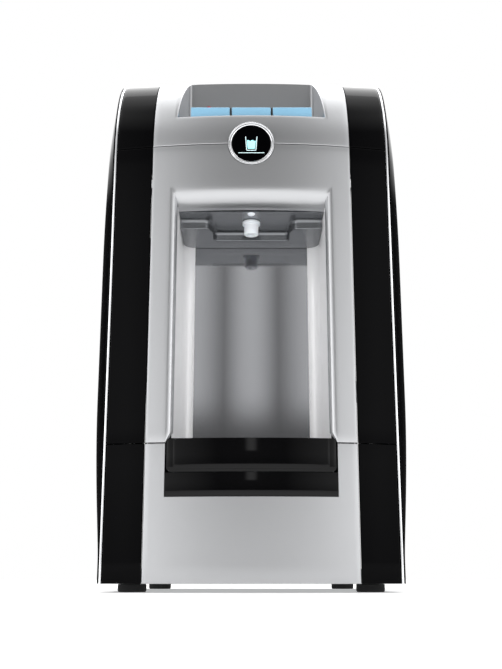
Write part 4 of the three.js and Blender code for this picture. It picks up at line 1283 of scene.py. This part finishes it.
# %% [markdown]
# The back sheet has pressed louvres and a row of screws along each edge. One louvre or one
# screw is made, and the same small tree repeats it along several lines.

# %% Back panel louvres
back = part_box("back_panel")
VENT_TOP = back[1].z - 29 * MM
VENT_STEP = 12 * MM


def hood_mesh():
    """One pressed louvre: a shallow eyelid open at its lower edge."""
    points = []
    for i in range(9):
        across = -1 + 2 * i / 8
        lift = sqrt(max(0.0, 1 - abs(across) ** 6))
        for turn in quarter(6):
            points.append((across * 43 * MM, 3.4 * MM * lift * sin(turn),
                           4.4 * MM * lift * cos(turn)))
    faces = [tuple(reversed(f)) for f in grid_faces(9, 7)]
    return thicken(from_faces("louvre", points, faces), 0.5 * MM)


def repeated(name, instance, count, offset, starts, material):
    """Copies of one piece along several lines, made into one mesh."""
    tree, given = node_tree(name, Count=count, Step=offset)
    row = add_node(tree, "GeometryNodeMeshLine", {"mode": "OFFSET"}, Count=given["Count"],
                   Offset=given["Step"])
    lines = [add_node(tree, "GeometryNodeTransform", Geometry=row, Translation=start)
             for start in starts]
    placed = add_node(tree, "GeometryNodeInstanceOnPoints", Points=joined(tree, *lines),
                      Instance=given["Geometry"])
    real = add_node(tree, "GeometryNodeRealizeInstances", Geometry=placed)
    finish_tree(tree, real, material)
    instance.name = name
    piece = run_nodes(instance, tree, {"Count": count, "Step": offset})
    settle(outward(piece), material)
    print(name, len(piece.data.polygons), "faces")


repeated("back_louvres", hood_mesh(), 7, (0, 0, -VENT_STEP),
         [(x, back[1].y, VENT_TOP - 3 * MM) for x in (-0.062, 0.062)], back_paint)

# %% [markdown]
# A pan-head screw is turned from its half-outline. Five of them hold each edge of the sheet.

# %% Back panel screws
screw = [(0.01, 1.1), (1.2, 1.1), (1.3, 1.8), (2.4, 1.5), (3.2, 0.9), (3.5, 0.1), (3.5, 0.0),
         (0.01, 0.0)]
screw = turned("screw", [(r * MM, h * MM) for r, h in screw], (0, 0, 0), axis="Y", sides=24)
repeated("back_screws", screw, 5, (0, 0, -118 * MM),
         [(x, back[1].y, back[1].z - 12 * MM) for x in (-0.135, 0.135)], bright_stainless)
print("screws placed")

# %% [markdown]
# The remaining frame nodes already have the right shape. They keep their meshes and get the
# finish that each real piece has.

# %% Finishes for the frame's own parts
finishes = {
    back_paint: ["back_panel", "compressor"],
    dark_abs: ["key_deck", "switch_housing", "power_inlet", "hot_solenoid_valve",
               "room_solenoid_valve", "cold_solenoid_valve"],
    zinc_sheet: ["base_pan", "tank_frame"],
    bright_stainless: ["cold_tank", "hot_tank"],
    white_pp: ["valve_manifold", "filter_cartridge", "cold_water_line"],
    key_red: ["hot_switch", "hot_water_line"],
    switch_green: ["cold_switch"],
    foam_jacket: ["cold_tank_jacket"],
    copper_pipe: ["evaporator_coil", "discharge_line"],
    board_green: ["key_switch_board", "control_board"],
    brass_fitting: ["water_inlet"],
}
for material, names in finishes.items():
    for name in names:
        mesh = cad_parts[name].data
        mesh.materials.clear()
        mesh.materials.append(material)
print(sum(len(names) for names in finishes.values()), "frame parts finished")

# %% [markdown]
# The feet are turned in rubber: a hollow heel, a rounded edge to stand on and a straight side.

# %% Rubber feet
for corner in ("front_left", "front_right", "rear_left", "rear_right"):
    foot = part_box(f"foot_{corner}")
    centre = middle_of(foot)
    radius = (foot[1].x - foot[0].x) / 2
    heel = 0.01 * MM
    outline = [(heel, 0.6 * MM), (radius - 5 * MM, 0.6 * MM), (radius - 4.4 * MM, 0.0),
               (radius - 1.6 * MM, 0.0), (radius - 0.5 * MM, 0.5 * MM), (radius, 2.0 * MM),
               (radius, foot[1].z - 0.6 * MM), (radius - 0.6 * MM, foot[1].z), (heel, foot[1].z)]
    pad = turned(f"foot_{corner}_pad", outline, (centre.x, centre.y, 0))
    settle(pad, rubber_foot, f"foot_{corner}")
print("feet made")

# %% [markdown]
# A low camera looks slightly up at the machine, so its verticals lean together towards the
# top. It stands nearly a metre in front, close to the level of the table.

# %% Camera and floor
CAMERA_DISTANCE = 0.9113
TILT_UP = radians(14.3)
eye = bpy.data.cameras.new("eye")
eye.lens = 51.4
eye.clip_start = 0.01
camera = bpy.data.objects.new("eye", eye)
scene.collection.objects.link(camera)
camera.location = (-0.3 * MM, FRONT - CAMERA_DISTANCE, BOTTOM + 5.4 * MM)
camera.rotation_euler = (pi / 2 + TILT_UP, 0, 0)
scene.camera = camera

floor_mesh = bpy.data.meshes.new("floor")
floor_mesh.from_pydata([(-6, -6, 0), (6, -6, 0), (6, 6, 0), (-6, 6, 0)], [], [(0, 1, 2, 3)])
floor = new_object("floor", floor_mesh)
pale_floor = surface("pale_floor", "#F4F4F4", 0.7, grain_mm=3, depth_mm=0.02, tint=0.01,
                     Emission_Color=(1, 1, 1, 1), Emission_Strength=0.35)
floor.data.materials.append(pale_floor)
floor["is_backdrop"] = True
print("camera", round(CAMERA_DISTANCE, 3), "m in front")

# %% [markdown]
# Big soft lights at both sides leave the middle darker. That draws bright edges on satin
# silver and keeps gloss black deep. A third one hangs above and behind, and lights the top.

# %% Soft lights
def softbox(name, place, aim, size, power):
    light = bpy.data.lights.new(name, "AREA")
    light.shape = "RECTANGLE"
    light.size, light.size_y = size
    light.energy = power
    holder = bpy.data.objects.new(name, light)
    scene.collection.objects.link(holder)
    holder.location = place
    holder.rotation_euler = (Vector(aim) - Vector(place)).to_track_quat("-Z", "Y").to_euler()


target = (0, FRONT, HEIGHT * 0.45)
softbox("left_box", (-1.55, -1.15, 0.5), target, (0.7, 1.2), 6)
softbox("right_box", (1.55, -1.15, 0.5), target, (0.7, 1.2), 6)
softbox("overhead", (0, 0.8, 1.7), (0, 0.1, HEIGHT), (2.2, 1.2), 12)
print("three soft lights hung")

# %% [markdown]
# Gloss shows whatever stands round it, so the world is a studio. It is pale at the sides,
# dark low down behind and bright above, with one narrow stripe ahead that the niche's back
# plate mirrors. Colour ramps over the direction paint it, and the ground looks plain white.

# %% Steps of the studio world
world = bpy.data.worlds.new("studio")
scene.world = world
world.use_nodes = True
sky = world.node_tree
shine = sky.nodes["Background"]


def ramp(value, stops):
    node = add_node(sky, "ShaderNodeValToRGB", Fac=value)
    elements = node.color_ramp.elements
    ends = {0: elements[0], len(stops) - 1: elements[1]}
    for index, (place, level) in enumerate(stops):
        element = ends.get(index) or elements.new(place)
        element.position = place
        element.color = (level, level, level, 1)
        ends = {0: elements[0], len(stops) - 1: elements[-1]}
    return node.outputs[0]


def sum_of(operation, *values):
    inputs = {f"i{k}": value for k, value in enumerate(values)}
    return add_node(sky, "ShaderNodeMath", {"operation": operation}, **inputs).outputs[0]


print("made: ramp, sum_of")

# %% [markdown]
# A ramp reads one number of the direction, from side to side or from bottom to top, and
# gives a brightness there. Products and sums of ramps give the whole surroundings.

# %% Studio world
direction = add_node(sky, "ShaderNodeSeparateXYZ",
                     i0=add_node(sky, "ShaderNodeTexCoord").outputs["Generated"])
aside = sum_of("ABSOLUTE", direction.outputs[0])
height = sum_of("MULTIPLY_ADD", direction.outputs[2], 0.5, 0.5)
rearward = sum_of("MULTIPLY_ADD", direction.outputs[1], 0.5, 0.5)
stripe = sum_of("MULTIPLY", ramp(aside, [(0.0, 1.3), (0.013, 1.1), (0.027, 0.0)]),
                ramp(height, [(0.575, 0.0), (0.59, 1.0), (0.67, 1.0), (0.70, 0.0)]))
sideways = ramp(aside, [(0.0, 0.2), (0.14, 0.16), (0.34, 0.9), (0.5, 1.8), (0.74, 1.4),
                        (0.88, 0.05)])
upward = ramp(height, [(0.0, 0.25), (0.49, 0.6), (0.56, 1.0), (0.68, 0.9), (0.76, 0.5),
                       (0.88, 0.5), (0.95, 2.0)])
behind = ramp(height, [(0.0, 0.02), (0.69, 0.04), (0.72, 1.2), (1.0, 2.2)])
front_glow = sum_of("ADD", stripe, sum_of("MULTIPLY", sideways, upward))
share = ramp(rearward, [(0.40, 0.0), (0.50, 1.0)])
glow = add_node(sky, "ShaderNodeMix", {"data_type": "FLOAT"}, i0=share, i2=front_glow,
                i3=behind)
sky.links.new(glow.outputs[0], shine.inputs["Color"])
shine.inputs["Strength"].default_value = 1.0
white_out = add_node(sky, "ShaderNodeBackground", Color=(1, 1, 1, 1), Strength=1.0)
seen = add_node(sky, "ShaderNodeLightPath")
blend = add_node(sky, "ShaderNodeMixShader", i0=seen.outputs["Is Camera Ray"], i1=shine,
                 i2=white_out)
sky.links.new(blend.outputs[0], sky.nodes["World Output"].inputs["Surface"])
scene.view_settings.view_transform = "Standard"
print("studio lit")

# %% [markdown]
# Last, the box round the finished pieces is worked out and printed.

# %% Size of the finished pieces
low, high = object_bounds()
print("visual box", [round(v, 4) for v in low], [round(v, 4) for v in high])
